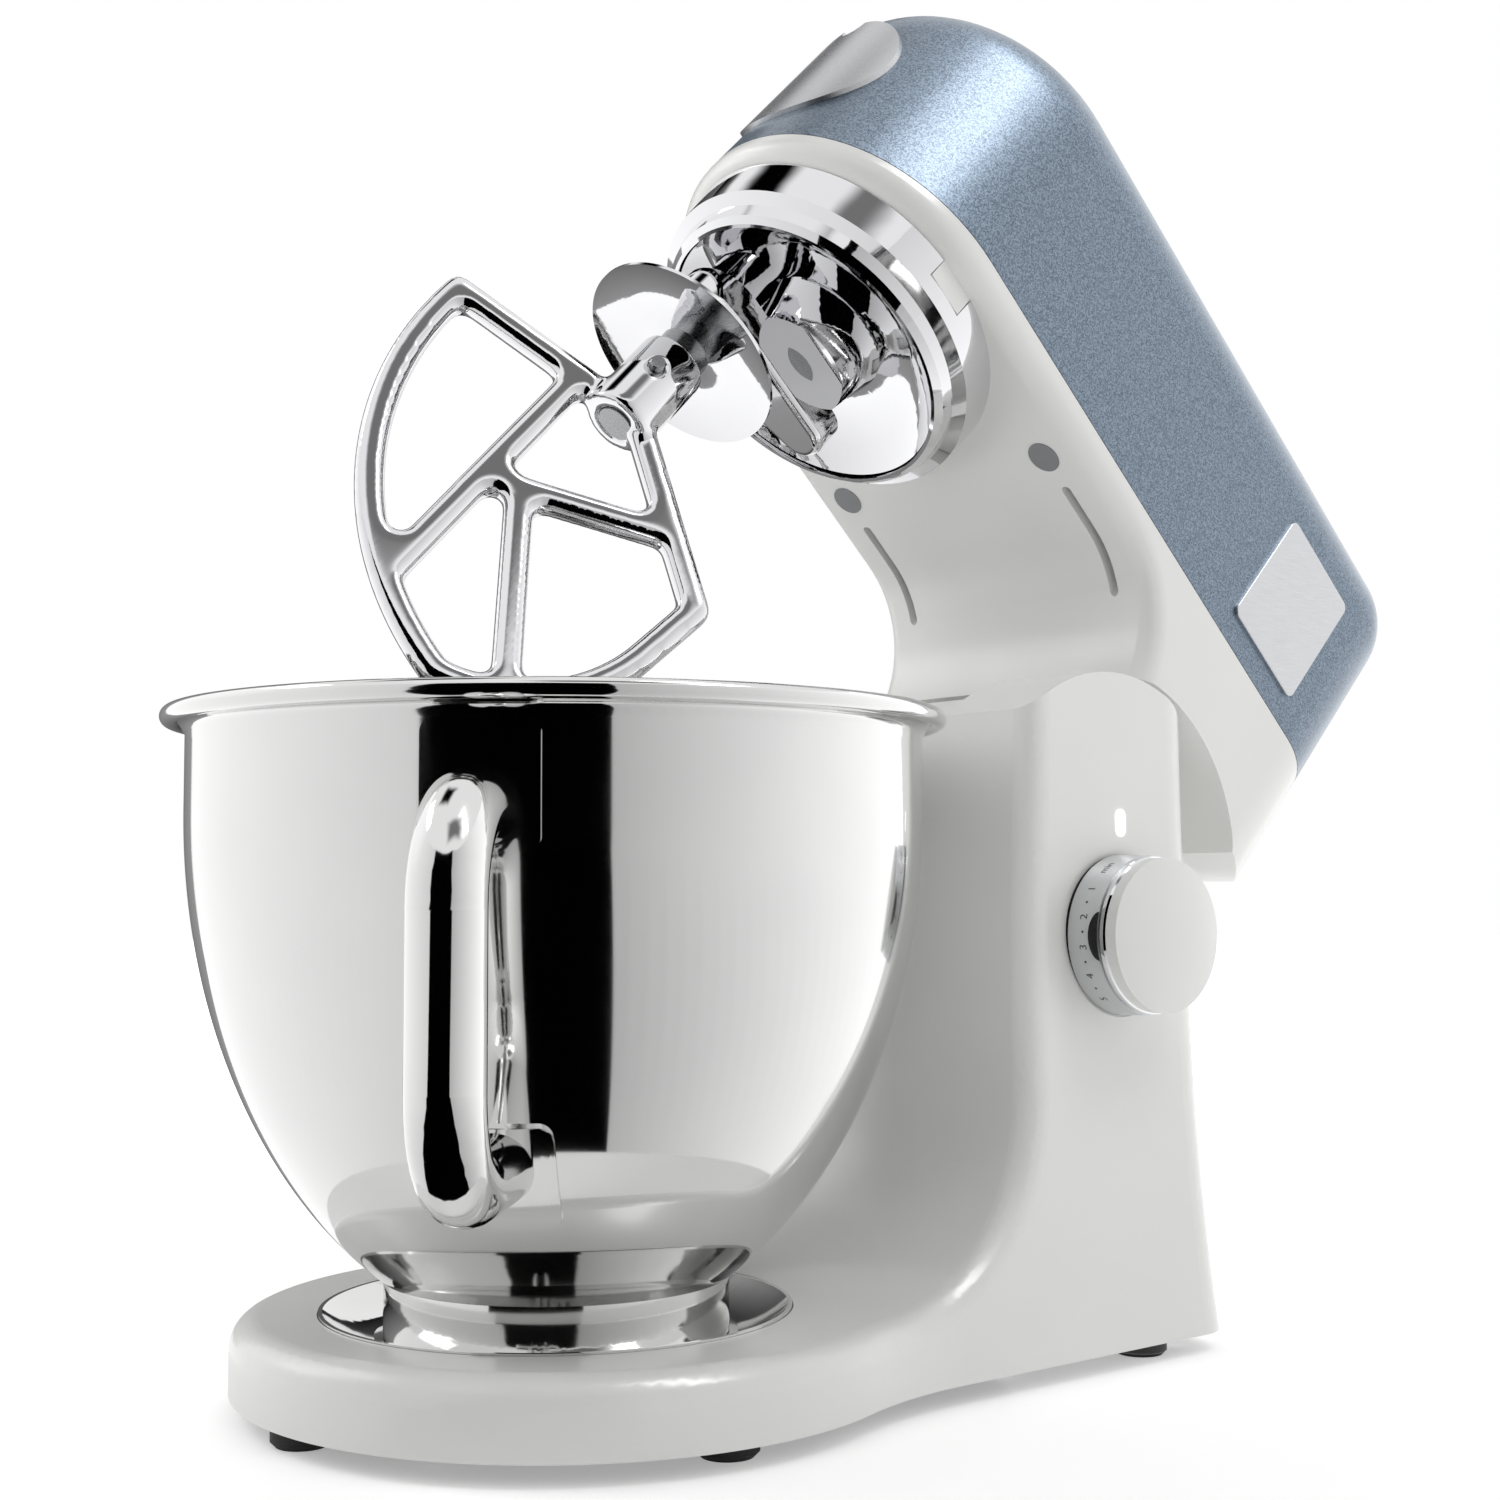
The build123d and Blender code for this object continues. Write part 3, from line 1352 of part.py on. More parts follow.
# Motor, fan and gears
with BuildPart() as motor_can:
    with BuildSketch(head_front(motor_front)):
        with Locations((0, motor_z)):
            Circle(motor_radius)
            Circle(motor_radius - can_wall, mode=Mode.SUBTRACT)
    extrude(amount=-motor_length)
motor_can.part.label = "motor_can"
export_step(motor_can.part, "parts/motor_can.step")

with BuildPart() as stator_core:
    with BuildSketch(head_front(motor_front + core_inset)):
        with Locations((0, motor_z)):
            Circle(motor_radius - can_wall - press_gap)
            Circle(rotor_radius + air_gap, mode=Mode.SUBTRACT)
    extrude(amount=2 * core_inset - motor_length)
stator_core.part.label = "stator_core"
export_step(stator_core.part, "parts/stator_core.step")

with BuildPart() as stator_coils:
    for station in (motor_front + part_gap, motor_front + motor_length - core_inset):
        with BuildSketch(head_front(station)):
            with Locations((0, motor_z)):
                Circle(coil_outer)
                Circle(coil_inner, mode=Mode.SUBTRACT)
        extrude(amount=part_gap - core_inset)
stator_coils.part.label = "stator_coils"
export_step(stator_coils.part, "parts/stator_coils.step")

with BuildPart() as motor_brackets:
    for station in (motor_front - bracket_thickness, motor_front + motor_length):
        with BuildSketch(head_front(station)):
            with Locations((0, floor_thickness)):
                Rectangle(2 * bracket_half, bracket_top - floor_thickness, align=(Align.CENTER, Align.MIN))
            with Locations((0, motor_z)):
                Circle(motor_shaft_radius + running_fit, mode=Mode.SUBTRACT)
        extrude(amount=-bracket_thickness)
motor_brackets.part.label = "motor_brackets"
export_step(motor_brackets.part, "parts/motor_brackets.step")

with BuildPart() as motor_shaft:
    with BuildSketch(head_front(shaft_front)):
        with Locations((0, motor_z)):
            Circle(motor_shaft_radius)
    extrude(amount=shaft_front - shaft_rear)
motor_shaft.part.label = "motor_shaft"
export_step(motor_shaft.part, "parts/motor_shaft.step")

with BuildPart() as rotor_core:
    with BuildSketch(head_front(motor_front + core_inset)):
        with Locations((0, motor_z)):
            Circle(rotor_radius)
            Circle(motor_shaft_radius + press_gap, mode=Mode.SUBTRACT)
    extrude(amount=2 * core_inset - motor_length)
rotor_core.part.label = "rotor_core"
export_step(rotor_core.part, "parts/rotor_core.step")

with BuildPart() as motor_pinion:
    with BuildSketch(head_front(shaft_front)):
        with Locations((0, motor_z)):
            Circle(bevel_radius)
            Circle(motor_shaft_radius + press_gap, mode=Mode.SUBTRACT)
    extrude(amount=-bevel_length)
motor_pinion.part.label = "motor_pinion"
export_step(motor_pinion.part, "parts/motor_pinion.step")

with BuildPart() as cooling_fan:
    with BuildSketch(head_front(fan_y)):
        with Locations((0, motor_z)):
            Circle(fan_radius)
            Circle(motor_shaft_radius + press_gap, mode=Mode.SUBTRACT)
    extrude(amount=-can_wall)
    with BuildSketch(head_front(fan_y + can_wall)):
        with Locations((0, motor_z)):
            with PolarLocations((bevel_radius + fan_radius) / 2, fan_blades):
                Rectangle(fan_radius - bevel_radius, can_wall)
    extrude(amount=-fan_depth)
cooling_fan.part.label = "cooling_fan"
export_step(cooling_fan.part, "parts/cooling_fan.step")

# Front outlet drive
with BuildPart() as outlet_bracket:
    with BuildSketch(head_front(outlet_bracket_y)):
        with Locations((0, floor_thickness + housing_flange)):
            Rectangle(
                2 * outlet_bracket_half,
                outlet_bracket_top - floor_thickness - housing_flange,
                align=(Align.CENTER, Align.MIN),
            )
        with Locations((0, outlet_z)):
            Circle(motor_shaft_radius + running_fit, mode=Mode.SUBTRACT)
    extrude(amount=bracket_thickness)
outlet_bracket.part.label = "outlet_bracket"
export_step(outlet_bracket.part, "parts/outlet_bracket.step")

outlet_face = bracket_thickness + outlet_back - outlet_bracket_y

with BuildPart() as outlet_spindle:
    with BuildSketch(head_front(-shaft_front)):
        with Locations((0, outlet_z)):
            Circle(motor_shaft_radius)
    extrude(amount=outlet_face - shaft_front)
    with BuildSketch(head_front(-outlet_face)):
        with Locations((0, outlet_z)):
            Circle(outlet_socket_radius)
    extrude(amount=outlet_socket_depth)
    with BuildSketch(head_front(-outlet_face - outlet_back)):
        with Locations((0, outlet_z)):
            Rectangle(outlet_square, outlet_square)
    extrude(amount=outlet_socket_depth, mode=Mode.SUBTRACT)
outlet_spindle.part.label = "outlet_spindle"
export_step(outlet_spindle.part, "parts/outlet_spindle.step")

with BuildPart() as outlet_pinion:
    with BuildSketch(head_front(-shaft_front)):
        with Locations((0, outlet_z)):
            Circle(bevel_radius)
            Circle(motor_shaft_radius + press_gap, mode=Mode.SUBTRACT)
    extrude(amount=bevel_length)
outlet_pinion.part.label = "outlet_pinion"
export_step(outlet_pinion.part, "parts/outlet_pinion.step")
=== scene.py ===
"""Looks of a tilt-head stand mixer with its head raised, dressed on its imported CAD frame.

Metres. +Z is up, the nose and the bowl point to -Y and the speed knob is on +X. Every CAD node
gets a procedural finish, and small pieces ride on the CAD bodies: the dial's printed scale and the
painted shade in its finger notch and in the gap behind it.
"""
from __future__ import annotations

import json
import logging
import math
from collections.abc import Sequence
from dataclasses import dataclass, field
from enum import Enum

import bpy
import numpy as np
from mathutils import Matrix, Vector

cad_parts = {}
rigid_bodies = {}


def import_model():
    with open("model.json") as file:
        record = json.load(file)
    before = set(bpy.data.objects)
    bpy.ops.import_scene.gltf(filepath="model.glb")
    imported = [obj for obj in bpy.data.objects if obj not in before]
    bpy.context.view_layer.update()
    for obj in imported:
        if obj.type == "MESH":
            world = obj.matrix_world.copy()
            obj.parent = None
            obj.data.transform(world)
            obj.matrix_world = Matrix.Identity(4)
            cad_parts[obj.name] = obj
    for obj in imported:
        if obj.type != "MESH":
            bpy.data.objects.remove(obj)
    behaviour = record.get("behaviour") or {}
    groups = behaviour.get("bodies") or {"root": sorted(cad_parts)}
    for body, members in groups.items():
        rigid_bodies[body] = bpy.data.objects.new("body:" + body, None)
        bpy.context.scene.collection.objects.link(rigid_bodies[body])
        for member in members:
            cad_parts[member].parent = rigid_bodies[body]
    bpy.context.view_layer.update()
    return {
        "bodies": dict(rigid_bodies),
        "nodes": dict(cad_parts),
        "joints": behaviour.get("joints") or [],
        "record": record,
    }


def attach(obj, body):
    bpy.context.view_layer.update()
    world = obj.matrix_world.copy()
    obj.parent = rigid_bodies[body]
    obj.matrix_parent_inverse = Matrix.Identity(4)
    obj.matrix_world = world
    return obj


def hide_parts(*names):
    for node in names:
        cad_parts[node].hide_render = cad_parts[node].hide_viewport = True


LOG = logging.getLogger("stand_mixer")
MM = 0.001
FULL_TURN = 2 * math.pi

Colour = tuple[float, float, float, float]
Point = tuple[float, float, float]
Pair = tuple[float, float]
Faces = Sequence[Sequence[int]] | np.ndarray
Socket = bpy.types.NodeSocket

WHITE: Colour = (1.0, 1.0, 1.0, 1.0)
# Most values of a noise lie between these two
NOISE_LOW, NOISE_HIGH = 0.3, 0.7


def srgb(code: str) -> Colour:
    """Turn a hex colour as seen on screen into the linear colour that shaders take.

    Args:
        code: Six hex digits after a hash sign.

    Returns:
        Linear red, green, blue and an alpha of one.
    """
    parts = [int(code[i : i + 2], 16) / 255 for i in (1, 3, 5)]
    linear = [p / 12.92 if p <= 0.04045 else ((p + 0.055) / 1.055) ** 2.4 for p in parts]
    return (*linear, 1.0)


class Nodes:
    """A node tree, with a single way to add nodes to it."""

    def __init__(self, tree: bpy.types.NodeTree) -> None:
        """Take over a tree.

        Args:
            tree: Tree of a material or of the world.
        """
        self.tree = tree

    def add(self, kind: str, inputs: dict | None = None, **settings: object) -> bpy.types.Node:
        """Add a node, and set or link its inputs.

        Args:
            kind: Blender's type name of the node.
            inputs: Socket name or index to a plain value or to another node's output.
            settings: Attributes of the node itself.

        Returns:
            The new node.
        """
        node = self.tree.nodes.new(kind)
        for key, value in settings.items():
            setattr(node, key, value)
        for key, value in (inputs or {}).items():
            self.feed(node, key, value)
        return node

    def feed(self, node: bpy.types.Node, key: str | int, value: object) -> None:
        """Set one input of a node, or link another node's output to it.

        Args:
            node: Node that owns the input.
            key: Socket name or index.
            value: Plain value or an output socket.
        """
        if isinstance(value, Socket):
            self.tree.links.new(value, node.inputs[key])
        else:
            node.inputs[key].default_value = value


class Shader(Nodes):
    """One material and its nodes."""

    def __init__(self, name: str) -> None:
        """Make the material.

        Args:
            name: Name of the real material that it shows.
        """
        self.material = bpy.data.materials.new(name)
        self.material.use_nodes = True
        super().__init__(self.material.node_tree)
        self.surface = self.tree.nodes["Principled BSDF"]

    def place(self, stretch: Point = (1.0, 1.0, 1.0)) -> Socket:
        """Give the object's own coordinates, in metres, stretched along each axis.

        Args:
            stretch: Scale along x, y and z.

        Returns:
            Output socket with the coordinates.
        """
        here = self.add("ShaderNodeTexCoord").outputs["Object"]
        return self.add("ShaderNodeMapping", {"Vector": here, "Scale": stretch}).outputs["Vector"]

    def noise(self, size_mm: float, where: Socket, detail: float = 3.0) -> Socket:
        """Add noise with grains of a real size.

        Args:
            size_mm: Width of one grain.
            where: Coordinates in metres.
            detail: Number of finer octaves.

        Returns:
            Output socket from zero to one.
        """
        inputs = {"Vector": where, "Scale": 1 / (size_mm * MM), "Detail": detail}
        return self.add("ShaderNodeTexNoise", inputs).outputs["Fac"]

    def span(self, value: Socket, low: float, high: float) -> Socket:
        """Map the middle of a pattern's range, where most of a noise lies, onto another range.

        Args:
            value: Pattern from zero to one.
            low: Result at the middle range's low end and below it.
            high: Result at its high end and above it.

        Returns:
            Output socket with the mapped value.
        """
        inputs = {"Value": value, "From Min": NOISE_LOW, "From Max": NOISE_HIGH}
        return self.add("ShaderNodeMapRange", inputs | {"To Min": low, "To Max": high}).outputs["Result"]

    def blend(self, share: Socket, first: Colour, second: Colour) -> Socket:
        """Mix two colours by a share.

        Args:
            share: Zero gives the first colour and one the second.
            first: Linear colour.
            second: Linear colour.

        Returns:
            Output socket with the mixed colour.
        """
        # The node also mixes numbers and vectors: inputs 6 and 7 and output 2 are its colours
        return self.add("ShaderNodeMix", {0: share, 6: first, 7: second}, data_type="RGBA").outputs[2]

    def bump(self, height: Socket, depth_mm: float, strength: float = 1.0) -> Socket:
        """Turn a height of zero to one into a normal.

        Args:
            height: Socket with the height.
            depth_mm: Real depth of the relief.
            strength: Share of the relief that shows.

        Returns:
            Output socket with the normal.
        """
        inputs = {"Height": height, "Distance": depth_mm * MM, "Strength": strength}
        return self.add("ShaderNodeBump", inputs).outputs["Normal"]

    def wear(self, **inputs: object) -> bpy.types.Material:
        """Feed the surface shader and hand back the finished material.

        Args:
            inputs: Surface inputs by name, with underscores for spaces.

        Returns:
            The material.
        """
        for key, value in inputs.items():
            self.feed(self.surface, key.replace("_", " "), value)
        return self.material

    def glow_only_where_hit(self) -> None:
        """Keep a glowing sheet from being treated as a lamp, which would shine through the cards."""
        self.material.cycles.emission_sampling = "NONE"


@dataclass(frozen=True)
class Finish:
    """What a material is made of, with two close tones; each kind builds its own shader."""

    name: str
    colour: str
    shade: str

    def build(self) -> bpy.types.Material:
        """Make the material; each kind has its own way."""
        raise NotImplementedError


@dataclass(frozen=True)
class Paint(Finish):
    """Sprayed and baked paint with a faint orange peel."""

    roughness: float = 0.32
    spread: float = 0.03
    tone_mm: float = 70.0
    satin_mm: float = 25.0
    peel_mm: float = 1.4
    peel_depth_mm: float = 0.004
    coat: float = 0.25
    coat_roughness: float = 0.12

    def build(self) -> bpy.types.Material:
        """Make the paint.

        Returns:
            The material.
        """
        shader = Shader(self.name)
        where = shader.place()
        tone = shader.noise(self.tone_mm, where)
        satin = shader.noise(self.satin_mm, where)
        peel = shader.noise(self.peel_mm, where, detail=1.0)
        return shader.wear(
            Base_Color=shader.blend(tone, srgb(self.colour), srgb(self.shade)),
            Roughness=shader.span(satin, self.roughness - self.spread, self.roughness + self.spread),
            Coat_Weight=self.coat,
            Coat_Roughness=self.coat_roughness,
            Normal=shader.bump(peel, self.peel_depth_mm),
        )


@dataclass(frozen=True)
class FlakePaint(Finish):
    """Metallic paint: bright flakes in a darker colour under a clear lacquer."""

    # Real flakes are too fine to show, so they are drawn coarser
    flake_mm: float = 0.45
    flake_depth_mm: float = 0.02
    relief: float = 0.35
    metallic: float = 0.75
    roughness: float = 0.38
    spread: float = 0.05
    coat: float = 0.45
    coat_roughness: float = 0.24

    def build(self) -> bpy.types.Material:
        """Make the paint.

        Returns:
            The material.
        """
        shader = Shader(self.name)
        inputs = {"Vector": shader.place(), "Scale": 1 / (self.flake_mm * MM)}
        flakes = shader.add("ShaderNodeTexVoronoi", inputs).outputs["Color"]
        shine = shader.add("ShaderNodeSeparateColor", {"Color": flakes}).outputs["Red"]
        return shader.wear(
            Base_Color=shader.blend(shine, srgb(self.shade), srgb(self.colour)),
            Metallic=self.metallic,
            Roughness=shader.span(shine, self.roughness - self.spread, self.roughness + self.spread),
            Coat_Weight=self.coat,
            Coat_Roughness=self.coat_roughness,
            Normal=shader.bump(shine, self.flake_depth_mm, self.relief),
        )


@dataclass(frozen=True)
class BrightMetal(Finish):
    """Polished or plated metal with faint smears and turning lines."""

    roughness: float = 0.05
    line_mm: float = 0.5
    line_depth_mm: float = 0.0002
    stretch: Point = (0.02, 0.02, 1.0)
    smear_mm: float = 45.0
    smear_shares: Pair = (0.7, 1.4)

    def build(self) -> bpy.types.Material:
        """Make the metal.

        Returns:
            The material.
        """
        shader = Shader(self.name)
        smear = shader.noise(self.smear_mm, shader.place())
        lines = shader.noise(self.line_mm, shader.place(self.stretch), detail=2.0)
        clean, dull = self.smear_shares
        return shader.wear(
            Base_Color=shader.blend(smear, srgb(self.colour), srgb(self.shade)),
            Metallic=1.0,
            Roughness=shader.span(smear, self.roughness * clean, self.roughness * dull),
            Normal=shader.bump(lines, self.line_depth_mm),
        )


@dataclass(frozen=True)
class BrushedMetal(Finish):
    """Metal brushed in one direction."""

    roughness: float = 0.3
    # Real brush lines are finer, and these are as coarse as they need to be to show
    line_mm: float = 0.25
    line_depth_mm: float = 0.003
    stretch: Point = (1.0, 0.03, 1.0)
    spread: float = 0.06

    def build(self) -> bpy.types.Material:
        """Make the metal.

        Returns:
            The material.
        """
        shader = Shader(self.name)
        lines = shader.noise(self.line_mm, shader.place(self.stretch), detail=4.0)
        return shader.wear(
            Base_Color=shader.blend(lines, srgb(self.colour), srgb(self.shade)),
            Metallic=1.0,
            Roughness=shader.span(lines, self.roughness - self.spread, self.roughness + self.spread),
            Normal=shader.bump(lines, self.line_depth_mm),
        )


@dataclass(frozen=True)
class Moulded(Finish):
    """Moulded or cast piece with the fine grain of its mould."""

    roughness: float = 0.4
    # A real mould's grain is finer, and this one is as coarse as it needs to be to show
    grain_mm: float = 0.5
    grain_depth_mm: float = 0.006
    # Painted glow: emission that brightens a piece beyond its lighting; only the indicator's lens has any
    glow: float = 0.0
    tone_mm: float = 30.0
    spread: float = 0.05

    def build(self) -> bpy.types.Material:
        """Make the plastic, rubber or raw casting.

        Returns:
            The material.
        """
        shader = Shader(self.name)
        where = shader.place()
        grain = shader.noise(self.grain_mm, where)
        tone = shader.noise(self.tone_mm, where)
        return shader.wear(
            Base_Color=shader.blend(tone, srgb(self.colour), srgb(self.shade)),
            Roughness=shader.span(grain, self.roughness - self.spread, self.roughness + self.spread),
            Normal=shader.bump(grain, self.grain_depth_mm),
            # The emission is painted glow
            Emission_Color=srgb(self.colour),
            Emission_Strength=self.glow,
        )


@dataclass(frozen=True)
class PlainFinish:
    """One even colour, for print and for pieces too small to show a pattern."""

    name: str
    colour: str
    roughness: float

    def build(self) -> bpy.types.Material:
        """Make the material in its one colour."""
        return Shader(self.name).wear(Base_Color=srgb(self.colour), Roughness=self.roughness)


class MixerFinish(Enum):
    """Finishes by the slot that the record gives to the CAD nodes."""

    # White powder paint on the die-cast base and head: an even satin white with wide, soft highlights
    BODY_PAINT = Paint("white_body_paint", "#F4F4F2", "#EDEDEB")
    # Metallic paint on the head's cover: a blue-grey that turns from silver to slate with the light
    COVER_PAINT = FlakePaint("blue_grey_flake_paint", "#8797A8", "#515F6E")
    # Polished stainless steel of the bowl, its handle and its seat: a mirror with a slight haze
    POLISHED_STEEL = BrightMetal("polished_stainless_steel", "#E4E4E3", "#DADADA", 0.06)
    # Chrome plate of the hub, the carrier, the beater and the knob's trim: the sharpest, coolest mirror
    CHROME = BrightMetal("chrome_plate", "#E9E9EA", "#DDDDE0", 0.04)
    # Brushed and lacquered aluminium of the plates and the lever: a bright satin with fine lines
    SILVER_TRIM = BrushedMetal("brushed_silver_trim", "#D2D3D5", "#BDBEC1")
    # Silver-coated plastic of the scale's ring: a pale satin, softer than metal
    DIAL_SILVER = BrushedMetal("satin_silver_plastic", "#D8D9DA", "#CBCCCE", 0.36)
    # White plastic of the knob's cap: satin, a little warmer than the paint
    WHITE_PLASTIC = Moulded("white_satin_plastic", "#F3F3F1", "#EDEDEA", 0.35)
    # Milky lens of the indicator: white, with a faint painted glow that lifts it above the paint around it
    LIGHT_LENS = Moulded("milky_lens_painted_glow", "#FFFFFF", "#F8F8F8", 0.25, glow=0.9)
    # Grey plastic plugs: dull mid grey
    GREY_PLASTIC = Moulded("grey_plastic", "#8F9092", "#858688", 0.5)
    # Dark plastic of the base plate, the fan and the sensor: dull near-black
    DARK_PLASTIC = Moulded("dark_plastic", "#2A2A2B", "#222223", 0.5)
    # Rubber of the feet and the gland: matt black with a coarse grain
    RUBBER = Moulded("dark_rubber", "#232323", "#1C1C1C", 0.65, 0.8, 0.02)
    # Machined steel of shafts, screws and gears: mid grey with fine tool lines
    STEEL = BrushedMetal("machined_steel", "#B4B5B7", "#9FA0A2", 0.28)
    # Sintered bronze of the bushes: dull brown-yellow metal
    BRONZE = BrushedMetal("sintered_bronze", "#B08A58", "#94703F", 0.4)
    # Lacquered circuit board: dark green with a soft shine
    BOARD = Moulded("circuit_board", "#1E5A33", "#174A29", 0.4)
    # Stacked iron sheet of the motor: dark grey with a line at each sheet's edge
    CORE_IRON = BrushedMetal("stacked_iron_sheet", "#77787B", "#5C5D60", 0.45, 0.5, 0.02, (0.05, 1.0, 0.05))
    # Enamelled copper wire of the coils: red-brown with the ridges of its turns
    COPPER = BrushedMetal("enamelled_copper", "#B0642F", "#8A4A20", 0.35, 0.6, 0.05)
    # Raw aluminium casting inside the head: pale grey, dull and grainy
    CAST_METAL = Moulded("raw_aluminium_casting", "#A9AAAC", "#98999B", 0.45, 0.9, 0.03)


class DialFinish(Enum):
    """Finishes of the small pieces that are added to the speed dial."""

    # Screen-printed ink of the scale: dark grey without shine
    INK = PlainFinish("dark_grey_ink", "#3A3B3D", 0.5)
    # Painted shade of the finger notch: a glossy black with a narrow highlight
    NOTCH = PlainFinish("painted_notch_shade", "#0E0E10", 0.2)
    # Painted shade in the gap behind the ring: a black line
    SEAL = PlainFinish("painted_gap_shade", "#0C0C0D", 0.9)


def smooth_faces(mesh: bpy.types.Mesh) -> None:
    """Shade all faces of a mesh smoothly."""
    mesh.polygons.foreach_set("use_smooth", np.ones(len(mesh.polygons), dtype=bool))


def even_shading(node: bpy.types.Object, crease_deg: float = 32.0) -> None:
    """Shade a CAD node smoothly, with large faces weighing more and creases kept.

    Args:
        node: CAD node.
        crease_deg: Edges that turn by more than this stay sharp.
    """
    mesh = node.data
    smooth_faces(mesh)
    if "custom_normal" in mesh.attributes:
        mesh.attributes.remove(mesh.attributes["custom_normal"])
    mesh.set_sharp_from_angle(angle=math.radians(crease_deg))
    weighing = node.modifiers.new("even_shading", "WEIGHTED_NORMAL")
    weighing.keep_sharp = True


def cast_edges(node: bpy.types.Object, grain_mm: float = 0.8, share: float = 0.5, passes: int = 36) -> None:
    """Round a casting's edges: a fine even skin is laid over it and then averaged with its neighbours.

    Args:
        node: CAD node.
        grain_mm: Width of the skin's facets.
        share: How far each pass moves a point towards its neighbours' middle.
        passes: Rounds of averaging; more of them wear the edges further.
    """
    skin = node.modifiers.new("even_skin", "REMESH")
    skin.mode = "VOXEL"
    skin.voxel_size = grain_mm * MM
    skin.use_smooth_shade = True
    worn = node.modifiers.new("worn_edges", "SMOOTH")
    worn.factor = share
    worn.iterations = passes


@dataclass
class PaintShop:
    """Puts each slot's material on the CAD nodes."""

    frame: dict
    castings: tuple[str, ...] = ("beater",)
    made: dict[str, bpy.types.Material] = field(default_factory=dict)

    def material(self, slot: str) -> bpy.types.Material:
        """Give the slot's material, made on first use.

        Args:
            slot: Slot name in the record.

        Returns:
            The material.
        """
        if slot not in self.made:
            self.made[slot] = MixerFinish[slot.upper()].value.build()
        return self.made[slot]

    def dress_nodes(self) -> None:
        """Give every CAD node its slot's material, and smooth shading or a casting's worn edges."""
        slots = {row["node"]: row["material_slot"] for row in self.frame["record"]["subparts"]}
        for name, node in self.frame["nodes"].items():
            node.data.materials.clear()
            node.data.materials.append(self.material(slots[name]))
            if name in self.castings:
                cast_edges(node)
            else:
                even_shading(node)
            LOG.info("dressed %s in %s", name, slots[name])


def mesh_object(name: str, verts: np.ndarray, faces: Faces) -> bpy.types.Object:
    """Make an object from points and faces and put it in the scene.

    Args:
        name: Name of the object and its mesh.
        verts: Points in metres.
        faces: Point numbers of each face.

    Returns:
        The object.
    """
    mesh = bpy.data.meshes.new(name)
    mesh.from_pydata(verts, [], faces)
    thing = bpy.data.objects.new(name, mesh)
    bpy.context.scene.collection.objects.link(thing)
    return thing


def grid_faces(rows: int, columns: int, closed: bool = False) -> np.ndarray:
    """Number the quads of a grid of points that are stored row by row.

    Args:
        rows: Number of rows.
        columns: Number of points in a row.
        closed: Whether each row runs round and meets itself.

    Returns:
        Four point numbers for each quad.
    """
    down = np.arange(rows - 1)[:, None] * columns
    here = np.arange(columns if closed else columns - 1)[None, :]
    there = (here + 1) % columns
    quads = np.stack([down + here, down + there, down + columns + there, down + columns + here], axis=-1)
    return quads.reshape(-1, 4)


def circle(radius: float, sides: int) -> np.ndarray:
    """Go round a circle about the origin: cosine and sine of even angles, times the radius.

    Args:
        radius: Radius in metres.
        sides: Number of points.

    Returns:
        Flat points in metres.
    """
    turn = np.linspace(0, FULL_TURN, sides, endpoint=False)
    return radius * np.column_stack([np.cos(turn), np.sin(turn)])


def world_box(node: bpy.types.Object) -> tuple[np.ndarray, np.ndarray]:
    """Give a node's lowest and highest corner.

    Args:
        node: CAD node.

    Returns:
        Two points in metres.
    """
    points = np.array([node.matrix_world @ Vector(c) for c in node.bound_box])
    return points.min(axis=0), points.max(axis=0)


